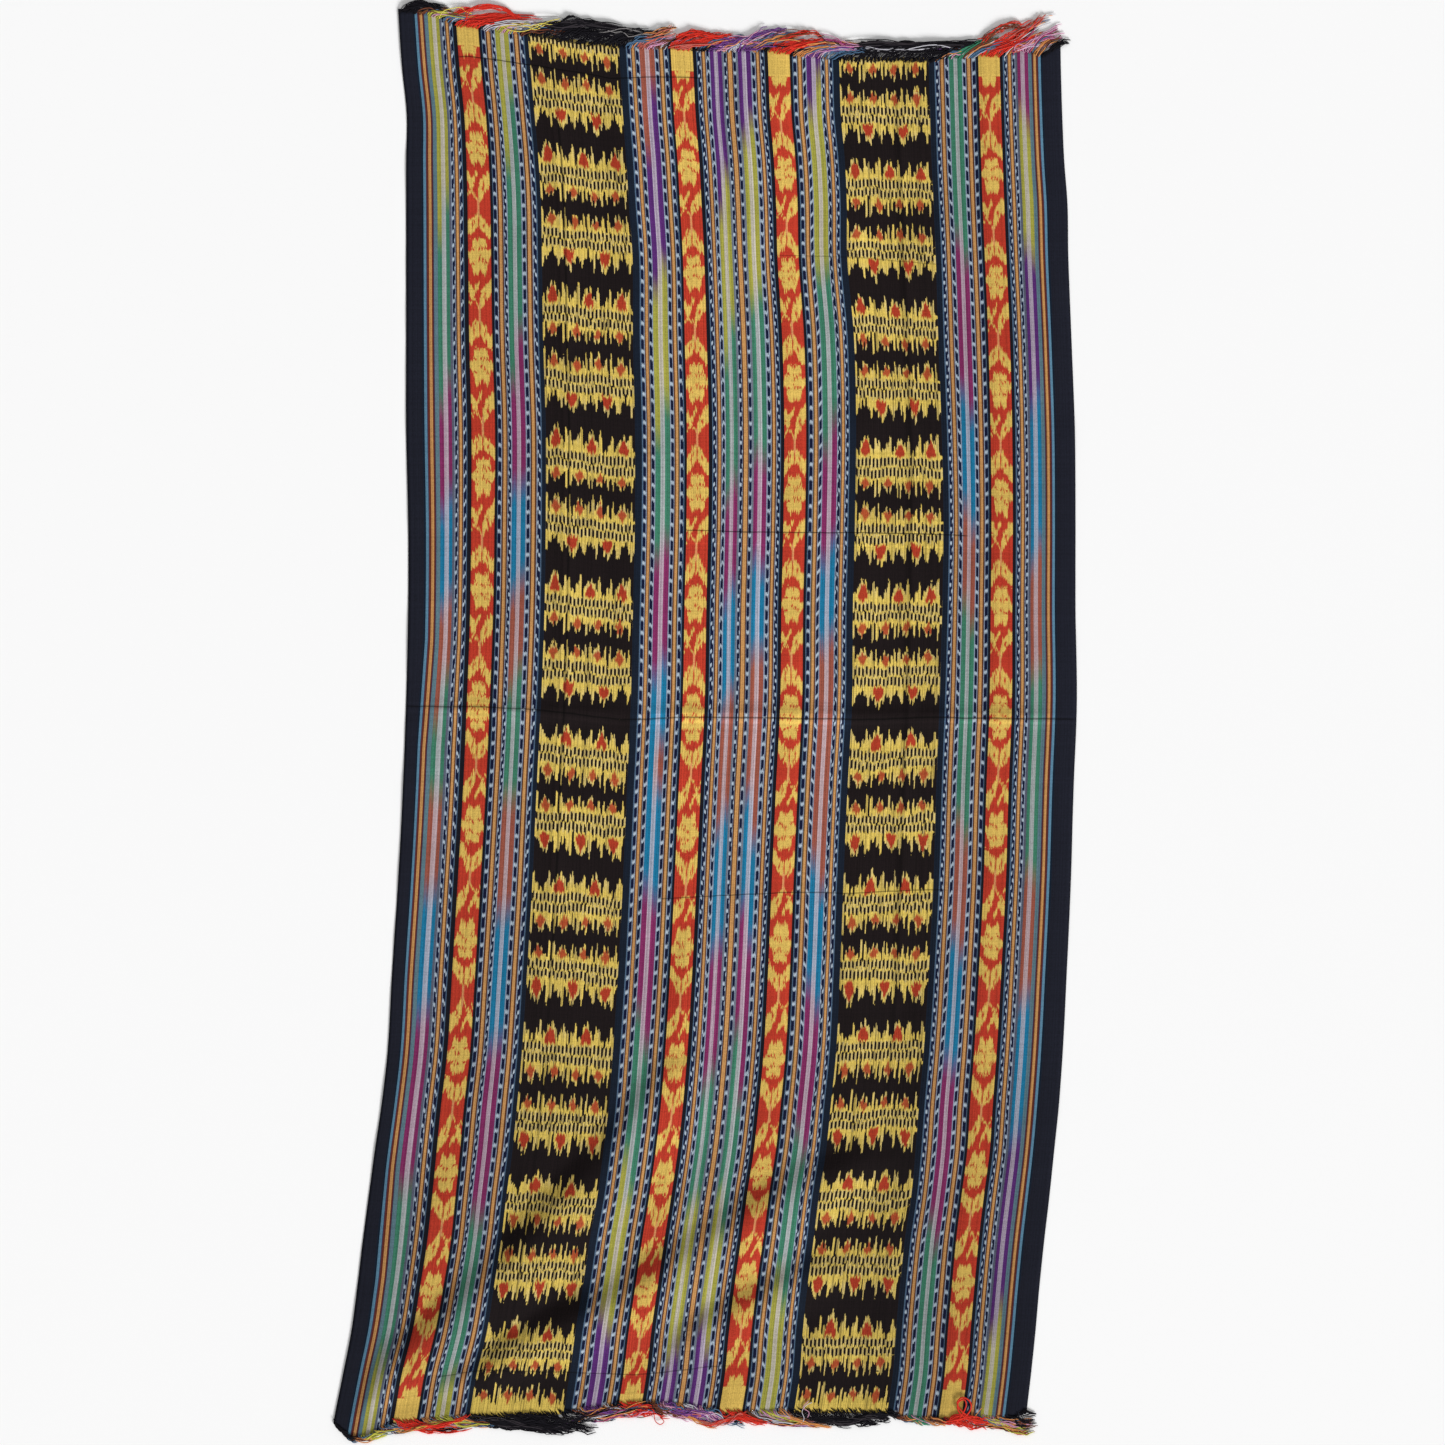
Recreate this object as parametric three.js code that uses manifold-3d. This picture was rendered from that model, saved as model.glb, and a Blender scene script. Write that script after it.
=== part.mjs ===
// Handwoven warp-ikat cloth lying face up on a floor, with its cut warp ends as a short fringe.
// Millimetres. +Y runs up the warp to the upper end, +Z is up, the underside rests at z = 0.
import * as THREE from 'three';
import { mergeVertices } from 'three/addons/utils/BufferGeometryUtils.js';
import Module from 'manifold-3d';

const wasm = await Module();
wasm.setup();

// Cloth
const HALF_WIDTH = 500;
const THICKNESS = 1.4;
const COLUMN_STEP = 40;
const ROW_STEP = 40;

// Fringe
const END_GAP = 0.45;
const STRIP_WIDTH = 3;
const STRIP_INSET = 50;
const STRAND_PITCH = 13;
const STRAND_WIDTH = 2;
const STRAND_HEIGHT = 1.8;
const STRAND_STEPS = 4;
const ROOT_DEPTH = 1.6;

// Woven distance of eight warp lines from the middle of the cloth.
const WARP_LINES = [-500, -387, -296, -164, 164, 296, 387, 500];

// Where those warp lines lie across the floor, at distances down from the highest corner.
const LAY = [
  { down: 0, x: [-461, -359, -269, -134, 199, 337, 423, 532] },
  { down: 90, x: [-455, -352, -262, -128, 202, 339, 425, 533] },
  { down: 160, x: [-448, -345, -256, -124, 204, 341, 427, 535] },
  { down: 227, x: [-449, -341, -250, -119, 210, 343, 429, 538] },
  { down: 294, x: [-449, -339, -246, -115, 213, 346, 431, 543] },
  { down: 362, x: [-449, -338, -245, -110, 213, 349, 434, 544] },
  { down: 497, x: [-449, -336, -243, -109, 224, 353, 440, 549] },
  { down: 632, x: [-449, -332, -239, -106, 227, 358, 443, 554] },
  { down: 767, x: [-446, -333, -239, -106, 225, 361, 444, 555] },
  { down: 902, x: [-446, -335, -241, -109, 222, 359, 443, 555] },
  { down: 1037, x: [-449, -340, -246, -112, 221, 355, 442, 557] },
  { down: 1172, x: [-454, -346, -253, -118, 214, 350, 437, 552] },
  { down: 1307, x: [-461, -354, -259, -124, 208, 346, 433, 548] },
  { down: 1442, x: [-470, -362, -267, -131, 203, 339, 426, 542] },
  { down: 1577, x: [-478, -371, -276, -140, 196, 330, 418, 535] },
  { down: 1644, x: [-486, -379, -282, -145, 189, 324, 413, 530] },
  { down: 1712, x: [-496, -385, -289, -153, 182, 319, 409, 523] },
  { down: 1779, x: [-505, -391, -298, -162, 171, 313, 400, 516] },
  { down: 1847, x: [-514, -398, -306, -174, 163, 303, 392, 508] },
  { down: 1914, x: [-522, -409, -316, -184, 154, 296, 386, 501] },
  { down: 1982, x: [-531, -421, -327, -195, 147, 290, 380, 495] },
  { down: 2049, x: [-544, -438, -343, -204, 142, 285, 375, 488] },
  { down: 2109, x: [-556, -449, -353, -214, 133, 276, 367, 481] },
  { down: 2148, x: [-563, -456, -360, -221, 127, 270, 362, 477] },
];

// How far down the upper end and the lower end lie, at woven distances from the middle.
const ENDS = [
  { across: -500, upper: 0, lower: 2121 },
  { across: -470, upper: 1, lower: 2148 },
  { across: -437, upper: 6, lower: 2143 },
  { across: -405, upper: 20, lower: 2121 },
  { across: -370, upper: 25, lower: 2120 },
  { across: -296, upper: 35, lower: 2114 },
  { across: -210, upper: 49, lower: 2111 },
  { across: -160, upper: 52, lower: 2107 },
  { across: -82, upper: 55, lower: 2095 },
  { across: -46, upper: 57, lower: 2094 },
  { across: 0, upper: 58, lower: 2097 },
  { across: 60, upper: 58, lower: 2107 },
  { across: 94, upper: 64, lower: 2108 },
  { across: 166, upper: 72, lower: 2106 },
  { across: 294, upper: 73, lower: 2106 },
  { across: 318, upper: 69, lower: 2115 },
  { across: 378, upper: 65, lower: 2119 },
  { across: 410, upper: 66, lower: 2115 },
  { across: 438, upper: 57, lower: 2115 },
  { across: 472, upper: 66, lower: 2116 },
  { across: 500, upper: 50, lower: 2106 },
];

// The sharp crease across the middle, where the cloth is kept folded in half.
const MID_CREASE = { left: 1053, right: 1064, height: 4.5, spread: 9 };

// Two lengthwise storage creases.
const LONG_CREASES = [
  { across: -223, from: 130, to: 1380, height: 2.6, spread: 9 },
  { across: 245, from: 90, to: 1500, height: 2.6, spread: 9 },
];

// Soft folds: each a rounded ridge from one point of the floor to another, x and down.
const SOFT_FOLDS = [
  { x0: -95, down0: 1540, x1: -255, down1: 1715, height: 9, spread: 40 },
  { x0: -150, down0: 1790, x1: -320, down1: 1975, height: 8, spread: 36 },
  { x0: 25, down0: 1670, x1: -110, down1: 1915, height: 10, spread: 36 },
  { x0: 130, down0: 1745, x1: 0, down1: 1990, height: 8, spread: 32 },
  { x0: -60, down0: 1930, x1: -150, down1: 2040, height: 6, spread: 28 },
  { x0: 205, down0: 240, x1: 215, down1: 470, height: 5, spread: 22 },
  { x0: -130, down0: 150, x1: -105, down1: 360, height: 5, spread: 24 },
  { x0: 60, down0: 110, x1: 90, down1: 300, height: 5, spread: 26 },
  { x0: -400, down0: 120, x1: -385, down1: 330, height: 4, spread: 22 },
  { x0: 350, down0: 1480, x1: 330, down1: 1720, height: 6, spread: 32 },
  { x0: -430, down0: 1680, x1: -470, down1: 1900, height: 5, spread: 30 },
];
const FLAT_MARGIN = 22;
const FLAT_FADE = 45;

// How far the upper and lower fringes reach outward and are swept to the right.
const UPPER_FRINGE = [
  { across: -450, reach: 20, sweep: 46 },
  { across: -400, reach: 26, sweep: 58 },
  { across: -345, reach: 33, sweep: 70 },
  { across: -290, reach: 29, sweep: 62 },
  { across: -120, reach: 27, sweep: 54 },
  { across: 240, reach: 26, sweep: 52 },
  { across: 290, reach: 26, sweep: 38 },
  { across: 340, reach: 31, sweep: 38 },
  { across: 400, reach: 42, sweep: 42 },
  { across: 438, reach: 42, sweep: 40 },
  { across: 450, reach: 42, sweep: 38 },
];
const LOWER_FRINGE = [
  { across: -450, reach: 7, sweep: 14 },
  { across: -400, reach: 12, sweep: 26 },
  { across: -300, reach: 20, sweep: 48 },
  { across: -200, reach: 28, sweep: 60 },
  { across: -110, reach: 25, sweep: 54 },
  { across: -20, reach: 25, sweep: 46 },
  { across: 70, reach: 25, sweep: 42 },
  { across: 230, reach: 27, sweep: 48 },
  { across: 288, reach: 27, sweep: 36 },
  { across: 325, reach: 20, sweep: 34 },
  { across: 378, reach: 24, sweep: 42 },
  { across: 450, reach: 26, sweep: 38 },
];

// A strand leaves its root outward, then leans over: parts of its sweep and of its reach.
const STRAND_LINE = [
  { sweep: 0, reach: 0 },
  { sweep: 0.1, reach: 0.3 },
  { sweep: 0.36, reach: 0.56 },
  { sweep: 0.68, reach: 0.79 },
  { sweep: 1, reach: 1 },
];

// Straight line through the named columns of a table.
function lookUp(table, key, value, column) {
  const last = table.length - 2;
  let i = 0;
  while (i < last && value > table[i + 1][key]) {
    i += 1;
  }
  const low = table[i];
  const high = table[i + 1];
  const part = THREE.MathUtils.clamp((value - low[key]) / (high[key] - low[key]), 0, 1);
  return THREE.MathUtils.lerp(column(low), column(high), part);
}

// Floor x of the warp line at a woven distance from the middle, at a distance down.
function floorX(across, down) {
  const last = WARP_LINES.length - 2;
  let i = 0;
  while (i < last && across > WARP_LINES[i + 1]) {
    i += 1;
  }
  const part = (across - WARP_LINES[i]) / (WARP_LINES[i + 1] - WARP_LINES[i]);
  const line = (row) => THREE.MathUtils.lerp(row.x[i], row.x[i + 1], part);
  return lookUp(LAY, 'down', down, line);
}

function endDown(across, side) {
  return lookUp(ENDS, 'across', across, (row) => row[side]);
}

function creaseDown(across) {
  const part = (across + HALF_WIDTH) / (2 * HALF_WIDTH);
  return THREE.MathUtils.lerp(MID_CREASE.left, MID_CREASE.right, part);
}

// Height of a ridge at a distance from its crest, with a rounded foot.
function ridge(distance, height, spread) {
  const part = Math.min(Math.abs(distance) / spread, 2);
  return height * 0.5 * (1 + Math.cos(Math.PI * part / 2));
}

function softFold(fold, x, down) {
  const along = new THREE.Vector2(fold.x1 - fold.x0, fold.down1 - fold.down0);
  const from = new THREE.Vector2(x - fold.x0, down - fold.down0);
  const part = THREE.MathUtils.clamp(from.dot(along) / along.lengthSq(), 0, 1);
  const distance = from.addScaledVector(along, -part).length();
  const swell = 0.35 + 0.65 * Math.sin(Math.PI * part);
  return ridge(distance, fold.height * swell, fold.spread);
}

// How high the underside lifts off the floor.
function lift(across, down) {
  const x = floorX(across, down);
  let height = ridge(down - creaseDown(across), MID_CREASE.height, MID_CREASE.spread);
  for (const crease of LONG_CREASES) {
    const ends = Math.min(down - crease.from, crease.to - down) / FLAT_FADE;
    const fade = THREE.MathUtils.clamp(ends, 0, 1);
    height = Math.max(height, fade * ridge(across - crease.across, crease.height, crease.spread));
  }
  for (const fold of SOFT_FOLDS) {
    height = Math.max(height, softFold(fold, x, down));
  }
  const fromEnd = Math.min(down - endDown(across, 'upper'), endDown(across, 'lower') - down);
  const fromSide = HALF_WIDTH - Math.abs(across);
  const inside = Math.min(fromEnd, fromSide) - FLAT_MARGIN;
  return height * THREE.MathUtils.smoothstep(inside, 0, FLAT_FADE);
}

// Grid lines: the given stops, with even steps between them.
function fillIn(stops, step) {
  const lines = [stops[0]];
  for (let i = 1; i < stops.length; i += 1) {
    const count = Math.max(1, Math.round((stops[i] - stops[i - 1]) / step));
    for (let k = 1; k <= count; k += 1) {
      lines.push(THREE.MathUtils.lerp(stops[i - 1], stops[i], k / count));
    }
  }
  return lines;
}

function creaseStops(crease) {
  return [crease.across - crease.spread * 2, crease.across, crease.across + crease.spread * 2];
}

const columns = fillIn([
  -HALF_WIDTH, -470, -437, -405, -370, -296,
  ...creaseStops(LONG_CREASES[0]),
  -160, -82, 0, 94, 166,
  ...creaseStops(LONG_CREASES[1]),
  296, 318, 378, 410, 438, 472, HALF_WIDTH,
], COLUMN_STEP);

// Rows from the upper end (0) to the middle crease (1) and on to the lower end (2).
const creaseStep = MID_CREASE.spread * 2 / MID_CREASE.left;
const rows = fillIn([
  0, 1 - creaseStep * 2, 1 - creaseStep, 1, 1 + creaseStep, 1 + creaseStep * 2, 2,
], ROW_STEP / MID_CREASE.left);

function rowDown(across, row) {
  if (row <= 1) {
    return THREE.MathUtils.lerp(endDown(across, 'upper'), creaseDown(across), row);
  }
  return THREE.MathUtils.lerp(creaseDown(across), endDown(across, 'lower'), row - 1);
}

// A box of unit cells whose corners are moved to where place(column, row, level) puts them.
function shapedBox(columnCount, rowCount, place) {
  const box = new THREE.BoxGeometry(columnCount, rowCount, 1, columnCount, rowCount, 1);
  box.deleteAttribute('normal');
  box.deleteAttribute('uv');
  const solid = mergeVertices(box);
  const points = solid.attributes.position;
  for (let i = 0; i < points.count; i += 1) {
    const column = Math.round(points.getX(i) + columnCount / 2);
    const row = Math.round(rowCount / 2 - points.getY(i));
    const level = Math.round(points.getZ(i) + 0.5);
    points.setXYZ(i, ...place(column, row, level));
  }
  solid.computeVertexNormals();
  return solid;
}

function clothGeometry() {
  return shapedBox(columns.length - 1, rows.length - 1, (column, row, level) => {
    const across = columns[column];
    const down = rowDown(across, rows[row]);
    return [floorX(across, down), -down, lift(across, down) + level * THICKNESS];
  });
}

// Floor point of the end of the cloth, moved outward by a distance square to the edge.
function endPoint(side, across, outward) {
  const sign = side === 'upper' ? 1 : -1;
  const down = endDown(across, side);
  const index = columns.findIndex((line) => line >= across - 1e-6);
  const before = columns[Math.max(index - 1, 0)];
  const after = columns[Math.min(index + 1, columns.length - 1)];
  const steepest = Math.max(
    Math.abs(endDown(after, side) - down) / Math.max(after - across, 1),
    Math.abs(down - endDown(before, side)) / Math.max(across - before, 1),
  );
  const away = outward * Math.hypot(1, steepest);
  return new THREE.Vector2(floorX(across, down), -down + sign * away);
}

function toManifold(geometry) {
  const plain = geometry.clone();
  plain.deleteAttribute('normal');
  plain.deleteAttribute('uv');
  const merged = mergeVertices(plain);
  const mesh = new wasm.Mesh({
    numProp: 3,
    vertProperties: new Float32Array(merged.attributes.position.array),
    triVerts: new Uint32Array(merged.index.array),
  });
  return new wasm.Manifold(mesh);
}

function fromManifold(solid) {
  const mesh = solid.getMesh();
  const geometry = new THREE.BufferGeometry();
  geometry.setAttribute('position', new THREE.BufferAttribute(mesh.vertProperties, 3));
  geometry.setIndex(new THREE.BufferAttribute(mesh.triVerts, 1));
  geometry.computeVertexNormals();
  return geometry;
}

// The narrow strip of warp ends that the strands leave, just off the end of the cloth.
function stripGeometry(side, lines) {
  return shapedBox(lines.length - 1, 1, (column, row, level) => {
    const outer = side === 'upper' ? row === 0 : row === 1;
    const point = endPoint(side, lines[column], END_GAP + (outer ? STRIP_WIDTH : 0));
    return [point.x, point.y, level * THICKNESS];
  });
}

// One strand: a three-sided bar lying level on the floor along its curve.
function strandGeometry(side, across, reach, sweep) {
  const sign = side === 'upper' ? 1 : -1;
  const root = endPoint(side, across, END_GAP + STRIP_WIDTH - ROOT_DEPTH);
  const path = new THREE.CatmullRomCurve3(STRAND_LINE.map((point) => new THREE.Vector3(
    root.x + sweep * point.sweep,
    root.y + sign * reach * point.reach,
    0,
  )));
  const section = new THREE.Shape([
    new THREE.Vector2(0, -STRAND_WIDTH / 2),
    new THREE.Vector2(0, STRAND_WIDTH / 2),
    new THREE.Vector2(-STRAND_HEIGHT, 0),
  ]);
  return new THREE.ExtrudeGeometry(section, { steps: STRAND_STEPS, extrudePath: path });
}

function fringeGeometry(side, table) {
  const first = -HALF_WIDTH + STRIP_INSET;
  const last = HALF_WIDTH - STRIP_INSET;
  const lines = [first, ...columns.filter((line) => line > first + 1 && line < last - 1), last];
  let solid = toManifold(stripGeometry(side, lines));
  const count = Math.floor((last - first - STRAND_PITCH) / STRAND_PITCH);
  for (let i = 0; i <= count; i += 1) {
    const across = first + STRAND_PITCH / 2 + i * STRAND_PITCH;
    const reach = lookUp(table, 'across', across, (row) => row.reach);
    const sweep = lookUp(table, 'across', across, (row) => row.sweep);
    solid = solid.add(toManifold(strandGeometry(side, across, reach, sweep)));
  }
  return fromManifold(solid);
}

const clothMaterial = new THREE.MeshStandardMaterial({ color: 0x2b2a33, roughness: 0.9, metalness: 0 });
const upperMaterial = new THREE.MeshStandardMaterial({ color: 0x7a3340, roughness: 0.95, metalness: 0 });
const lowerMaterial = new THREE.MeshStandardMaterial({ color: 0x6b3a4a, roughness: 0.95, metalness: 0 });

const cloth = new THREE.Mesh(clothGeometry(), clothMaterial);
cloth.name = 'cloth';
const fringeTop = new THREE.Mesh(fringeGeometry('upper', UPPER_FRINGE), upperMaterial);
fringeTop.name = 'fringe_top';
const fringeBottom = new THREE.Mesh(fringeGeometry('lower', LOWER_FRINGE), lowerMaterial);
fringeBottom.name = 'fringe_bottom';

const part = new THREE.Group();
part.add(cloth, fringeTop, fringeBottom);

// The origin is at the middle of the whole footprint, on the floor.
const box = new THREE.Box3().setFromObject(part);
const middle = box.getCenter(new THREE.Vector3());
for (const piece of part.children) {
  piece.position.set(-middle.x, -middle.y, -box.min.z);
}

export default part;
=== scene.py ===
"""Looks of a handwoven warp-ikat cloth that lies face up on a pale floor.

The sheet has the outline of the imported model, in a finer grid and with softer, higher folds. Each
of its points carries its woven coordinates: millimetres across from the middle warp, and
millimetres along the warp from the middle of the pattern. The material works out the colour of
every warp thread from those two numbers. The cut warp ends are yarns of their own at both ends.
Lengths in the tables are millimetres where no comment says otherwise.
"""

import math

import bpy
import numpy as np
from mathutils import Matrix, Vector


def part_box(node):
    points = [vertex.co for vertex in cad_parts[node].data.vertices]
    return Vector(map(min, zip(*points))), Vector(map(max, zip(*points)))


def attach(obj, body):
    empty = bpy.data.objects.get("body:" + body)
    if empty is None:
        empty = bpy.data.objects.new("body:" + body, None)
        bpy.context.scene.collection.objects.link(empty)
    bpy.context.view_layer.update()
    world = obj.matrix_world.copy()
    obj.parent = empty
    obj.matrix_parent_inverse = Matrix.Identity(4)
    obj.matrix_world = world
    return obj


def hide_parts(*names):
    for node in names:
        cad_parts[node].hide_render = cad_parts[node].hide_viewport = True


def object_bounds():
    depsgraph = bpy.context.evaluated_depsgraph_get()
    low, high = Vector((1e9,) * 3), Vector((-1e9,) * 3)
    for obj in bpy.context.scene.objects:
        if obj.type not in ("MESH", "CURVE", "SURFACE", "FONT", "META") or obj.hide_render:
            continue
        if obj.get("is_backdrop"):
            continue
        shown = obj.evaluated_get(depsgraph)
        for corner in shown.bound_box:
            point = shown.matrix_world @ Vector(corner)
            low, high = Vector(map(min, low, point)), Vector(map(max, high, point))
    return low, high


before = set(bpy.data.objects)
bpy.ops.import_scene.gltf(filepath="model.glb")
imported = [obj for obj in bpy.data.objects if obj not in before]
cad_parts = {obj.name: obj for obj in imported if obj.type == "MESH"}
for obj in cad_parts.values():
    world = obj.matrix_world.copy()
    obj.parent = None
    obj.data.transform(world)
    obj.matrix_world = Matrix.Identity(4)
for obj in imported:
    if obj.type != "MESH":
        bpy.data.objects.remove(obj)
cad_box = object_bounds()

MM = 0.001
# The photograph shows 1.5 mm of floor in a pixel; the cloth's middle and its top lie at these.
PX = 1.5
PHOTO_MIDDLE_X = 705.5
PHOTO_TOP_Y = 9.0
HALF_WIDTH = 500.0
# Where the sheet lies flat: how high its face is, and how high its back.
FACE_HEIGHT = 1.3
BACK_HEIGHT = 0.2
CLOTH_COLUMNS = 180
CLOTH_ROWS = 250

# Woven distance of eight warp lines from the middle, and where they lie on the floor (x) by
# distance down from the highest corner.
WARP_LINES = (-500, -387, -296, -164, 164, 296, 387, 500)
LAY = (
    (0, (-461, -359, -269, -134, 199, 337, 423, 532)),
    (90, (-455, -352, -262, -128, 202, 339, 425, 533)),
    (160, (-448, -345, -256, -124, 204, 341, 427, 535)),
    (227, (-449, -341, -250, -119, 210, 343, 429, 538)),
    (294, (-449, -339, -246, -115, 213, 346, 431, 543)),
    (362, (-449, -338, -245, -110, 213, 349, 434, 544)),
    (497, (-449, -336, -243, -109, 224, 353, 440, 549)),
    (632, (-449, -332, -239, -106, 227, 358, 443, 554)),
    (767, (-446, -333, -239, -106, 225, 361, 444, 555)),
    (902, (-446, -335, -241, -109, 222, 359, 443, 555)),
    (1037, (-449, -340, -246, -112, 221, 355, 442, 557)),
    (1172, (-454, -346, -253, -118, 214, 350, 437, 552)),
    (1307, (-461, -354, -259, -124, 208, 346, 433, 548)),
    (1442, (-470, -362, -267, -131, 203, 339, 426, 542)),
    (1577, (-478, -371, -276, -140, 196, 330, 418, 535)),
    (1644, (-486, -379, -282, -145, 189, 324, 413, 530)),
    (1712, (-496, -385, -289, -153, 182, 319, 409, 523)),
    (1779, (-505, -391, -298, -162, 171, 313, 400, 516)),
    (1847, (-514, -398, -306, -174, 163, 303, 392, 508)),
    (1914, (-522, -409, -316, -184, 154, 296, 386, 501)),
    (1982, (-531, -421, -327, -195, 147, 290, 380, 495)),
    (2049, (-544, -438, -343, -204, 142, 285, 375, 488)),
    (2109, (-556, -449, -353, -214, 133, 276, 367, 481)),
    (2148, (-563, -456, -360, -221, 127, 270, 362, 477)),
)

# Stripes lie a little off their even places: place across, and what to add. Where the amount
# changes along the cloth there are four: above, below the middle, and twice near the lower end.
DRIFT_HEIGHTS = (100, -60, -660, -820)
WARP_DRIFT = (
    (-500, 0), (-474, 0, 8, 8, 1), (-463, 1.6, 8.4, 8.4, 1.5), (-445, 0.5, 5, 5, 1),
    (-422, 0.4, 2.6, 2.6, 1.2), (-411, 0.8, 1.5, 1.5, 1), (-404, -3), (-388, -0.6), (-371.5, 1.5),
    (-355, 1.6, 0.6, 1.6, 1.6), (-315, 1.2), (-298, 0.4), (-165, -0.6), (-143, -1.4), (-102, -2.5),
    (-86.6, -3.2), (-54.4, -2), (-38.5, -2.9), (-20, -0.2), (20, 0.2), (57, -0.1), (89, 1.2),
    (104, 0.2), (144, 0.8), (162.5, 1.6), (290.6, 4.8), (303, 0.2), (312.5, 1.2), (355, 0),
    (371, -1.2), (403.4, 4), (411, 0.8), (440, 1.6), (459.4, 2.6), (470, 5), (490, 5), (500, 0),
)

# Across, and how far down the upper and the lower end lie.
ENDS = (
    (-500, 0, 2121),
    (-470, 1, 2148),
    (-437, 6, 2143),
    (-405, 20, 2121),
    (-370, 25, 2120),
    (-296, 35, 2114),
    (-210, 49, 2111),
    (-160, 52, 2107),
    (-82, 55, 2095),
    (-46, 57, 2094),
    (0, 58, 2097),
    (60, 58, 2107),
    (94, 64, 2108),
    (166, 72, 2106),
    (294, 73, 2106),
    (318, 69, 2115),
    (378, 65, 2119),
    (410, 66, 2115),
    (438, 57, 2115),
    (472, 66, 2116),
    (500, 50, 2106),
)

# Where the pattern lies: distance down of eleven weft lines (rows, by woven distance up from the
# middle of the pattern) at eight places across.
BAND_PLACES = (-388, -285, -178, -74, 74, 178, 285, 388)
WEFT_LINES = (
    (1020, (23, 41, 63, 64, 72, 72, 72, 71)),
    (840, (202, 217, 230, 230, 244, 240, 246, 244)),
    (630, (408, 421, 434, 433, 434, 438, 446, 447)),
    (420, (620, 629, 646, 644, 648, 645, 648, 652)),
    (210, (836, 840, 857, 854, 856, 856, 859, 859)),
    (0, (1047, 1053, 1066, 1062, 1063, 1065, 1061, 1063)),
    (-210, (1259, 1266, 1276, 1274, 1269, 1272, 1268, 1268)),
    (-420, (1481, 1485, 1493, 1492, 1485, 1488, 1485, 1484)),
    (-630, (1707, 1705, 1712, 1714, 1707, 1704, 1702, 1702)),
    (-840, (1926, 1921, 1924, 1927, 1911, 1915, 1916, 1918)),
    (-1020, (2117, 2097, 2103, 2110, 2098, 2100, 2100, 2104)),
)

# Past the first and the last weft line, woven distance for each millimetre of floor.
WOVEN_PER_FLOOR = 1.02

# The fold across the middle: how far down it lies at both selvedges, its height, and how far from
# its ridge it is half as high. The lengthwise ones: place across, start and stop, and the same two.
MID_CREASE = (1053, 1064, 4.5, 9)
LONG_CREASES = ((-262, 130, 1380, 2.6, 8), (250, 90, 1500, 3.2, 9))
# Soft ridges of cloth pulled towards its lower left corner, and a few faint lengthwise ones: x and
# down of both ends, height, and how wide the upper left side and the lower right side are.
SOFT_FOLDS = (
    (-500, 2072, -318, 1912, 17.5, 25, 42), (-318, 1912, -150, 1732, 17.5, 24, 52),
    (-150, 1732, -45, 1594, 14, 23, 56), (-45, 1594, -18, 1400, 7, 24, 48),
    (-421, 2086, -337, 2054, 11, 22, 26), (-337, 2054, -241, 1986, 15, 22, 32),
    (-241, 1986, -128, 1946, 17.5, 24, 38), (-128, 1946, -5, 1862, 17.5, 25, 42),
    (-5, 1862, 152, 1766, 17.5, 25, 42), (152, 1766, 242, 1730, 12, 22, 30),
    (-17, 1989, 170, 1896, 12, 19, 30),
    (-440, 1960, -400, 1780, 4.5, 18, 24), (200, 240, 212, 480, 4.5, 20, 24),
    (-128, 150, -105, 420, 5.5, 20, 28), (60, 110, 92, 330, 4.5, 22, 28),
    (215, 600, 222, 1000, 4.0, 22, 26), (-400, 120, -385, 330, 3.0, 20, 22),
    (350, 1480, 330, 1720, 5.0, 26, 32), (-110, 700, -108, 1150, 3.5, 24, 28),
    (-20, 1400, -60, 1150, 3.0, 22, 34),
)
# The rim of the sheet lies flat: how wide it is, and over what distance a fold grows beside it.
FLAT_MARGIN = 22
FLAT_FADE = 45
# A soft ridge is this much of its height at its two ends.
FOLD_END_SHARE = 0.7
# Unevenness all over: how many waves, their lengths, the size of one, and a height added to all.
RIPPLE_COUNT = 14
RIPPLE_WAVES = (70, 210)
RIPPLE_SIZE = 0.16
RIPPLE_BASE = 0.35
RIPPLE_SEED = 7


def table(rows, column):
    return np.array([row[column] for row in rows], dtype=float)


def smooth_lookup(value, places, heights):
    """Curve through the table's points with no kinks."""
    places = np.asarray(places, dtype=float)
    heights = np.asarray(heights, dtype=float)
    slopes = np.gradient(heights, places)
    value = np.clip(value, places[0], places[-1])
    index = np.clip(np.searchsorted(places, value) - 1, 0, len(places) - 2)
    span = places[index + 1] - places[index]
    part = (value - places[index]) / span
    square, cube = part**2, part**3
    return (
        (2 * cube - 3 * square + 1) * heights[index]
        + (cube - 2 * square + part) * span * slopes[index]
        + (3 * square - 2 * cube) * heights[index + 1]
        + (cube - square) * span * slopes[index + 1]
    )


def smoothstep(value, low, high):
    part = np.clip((value - low) / (high - low), 0, 1)
    return part * part * (3 - 2 * part)


def blend(value, places, lines):
    """Straight blend between the lines that belong to the places on both sides of each value."""
    places = np.array(places, dtype=float)
    value = np.clip(value, places[0], places[-1])
    index = np.clip(np.searchsorted(places, value) - 1, 0, len(places) - 2)
    part = (value - places[index]) / (places[index + 1] - places[index])
    points = np.arange(len(value))
    return lines[index, points] * (1 - part) + lines[index + 1, points] * part


def floor_x(across, down):
    columns = np.array([row[1] for row in LAY], dtype=float).T
    lines = np.stack([smooth_lookup(down, table(LAY, 0), column) for column in columns])
    return blend(across, WARP_LINES, lines)


def woven_height(across, down):
    """Woven distance up from the middle of the pattern."""
    heights = []
    for column in np.array([row[1] for row in WEFT_LINES], dtype=float).T:
        past_ends = np.maximum(column[0] - down, 0) - np.maximum(down - column[-1], 0)
        height = smooth_lookup(down, column, table(WEFT_LINES, 0))
        heights.append(height + past_ends * WOVEN_PER_FLOOR)
    return blend(across, BAND_PLACES, np.stack(heights))


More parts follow.
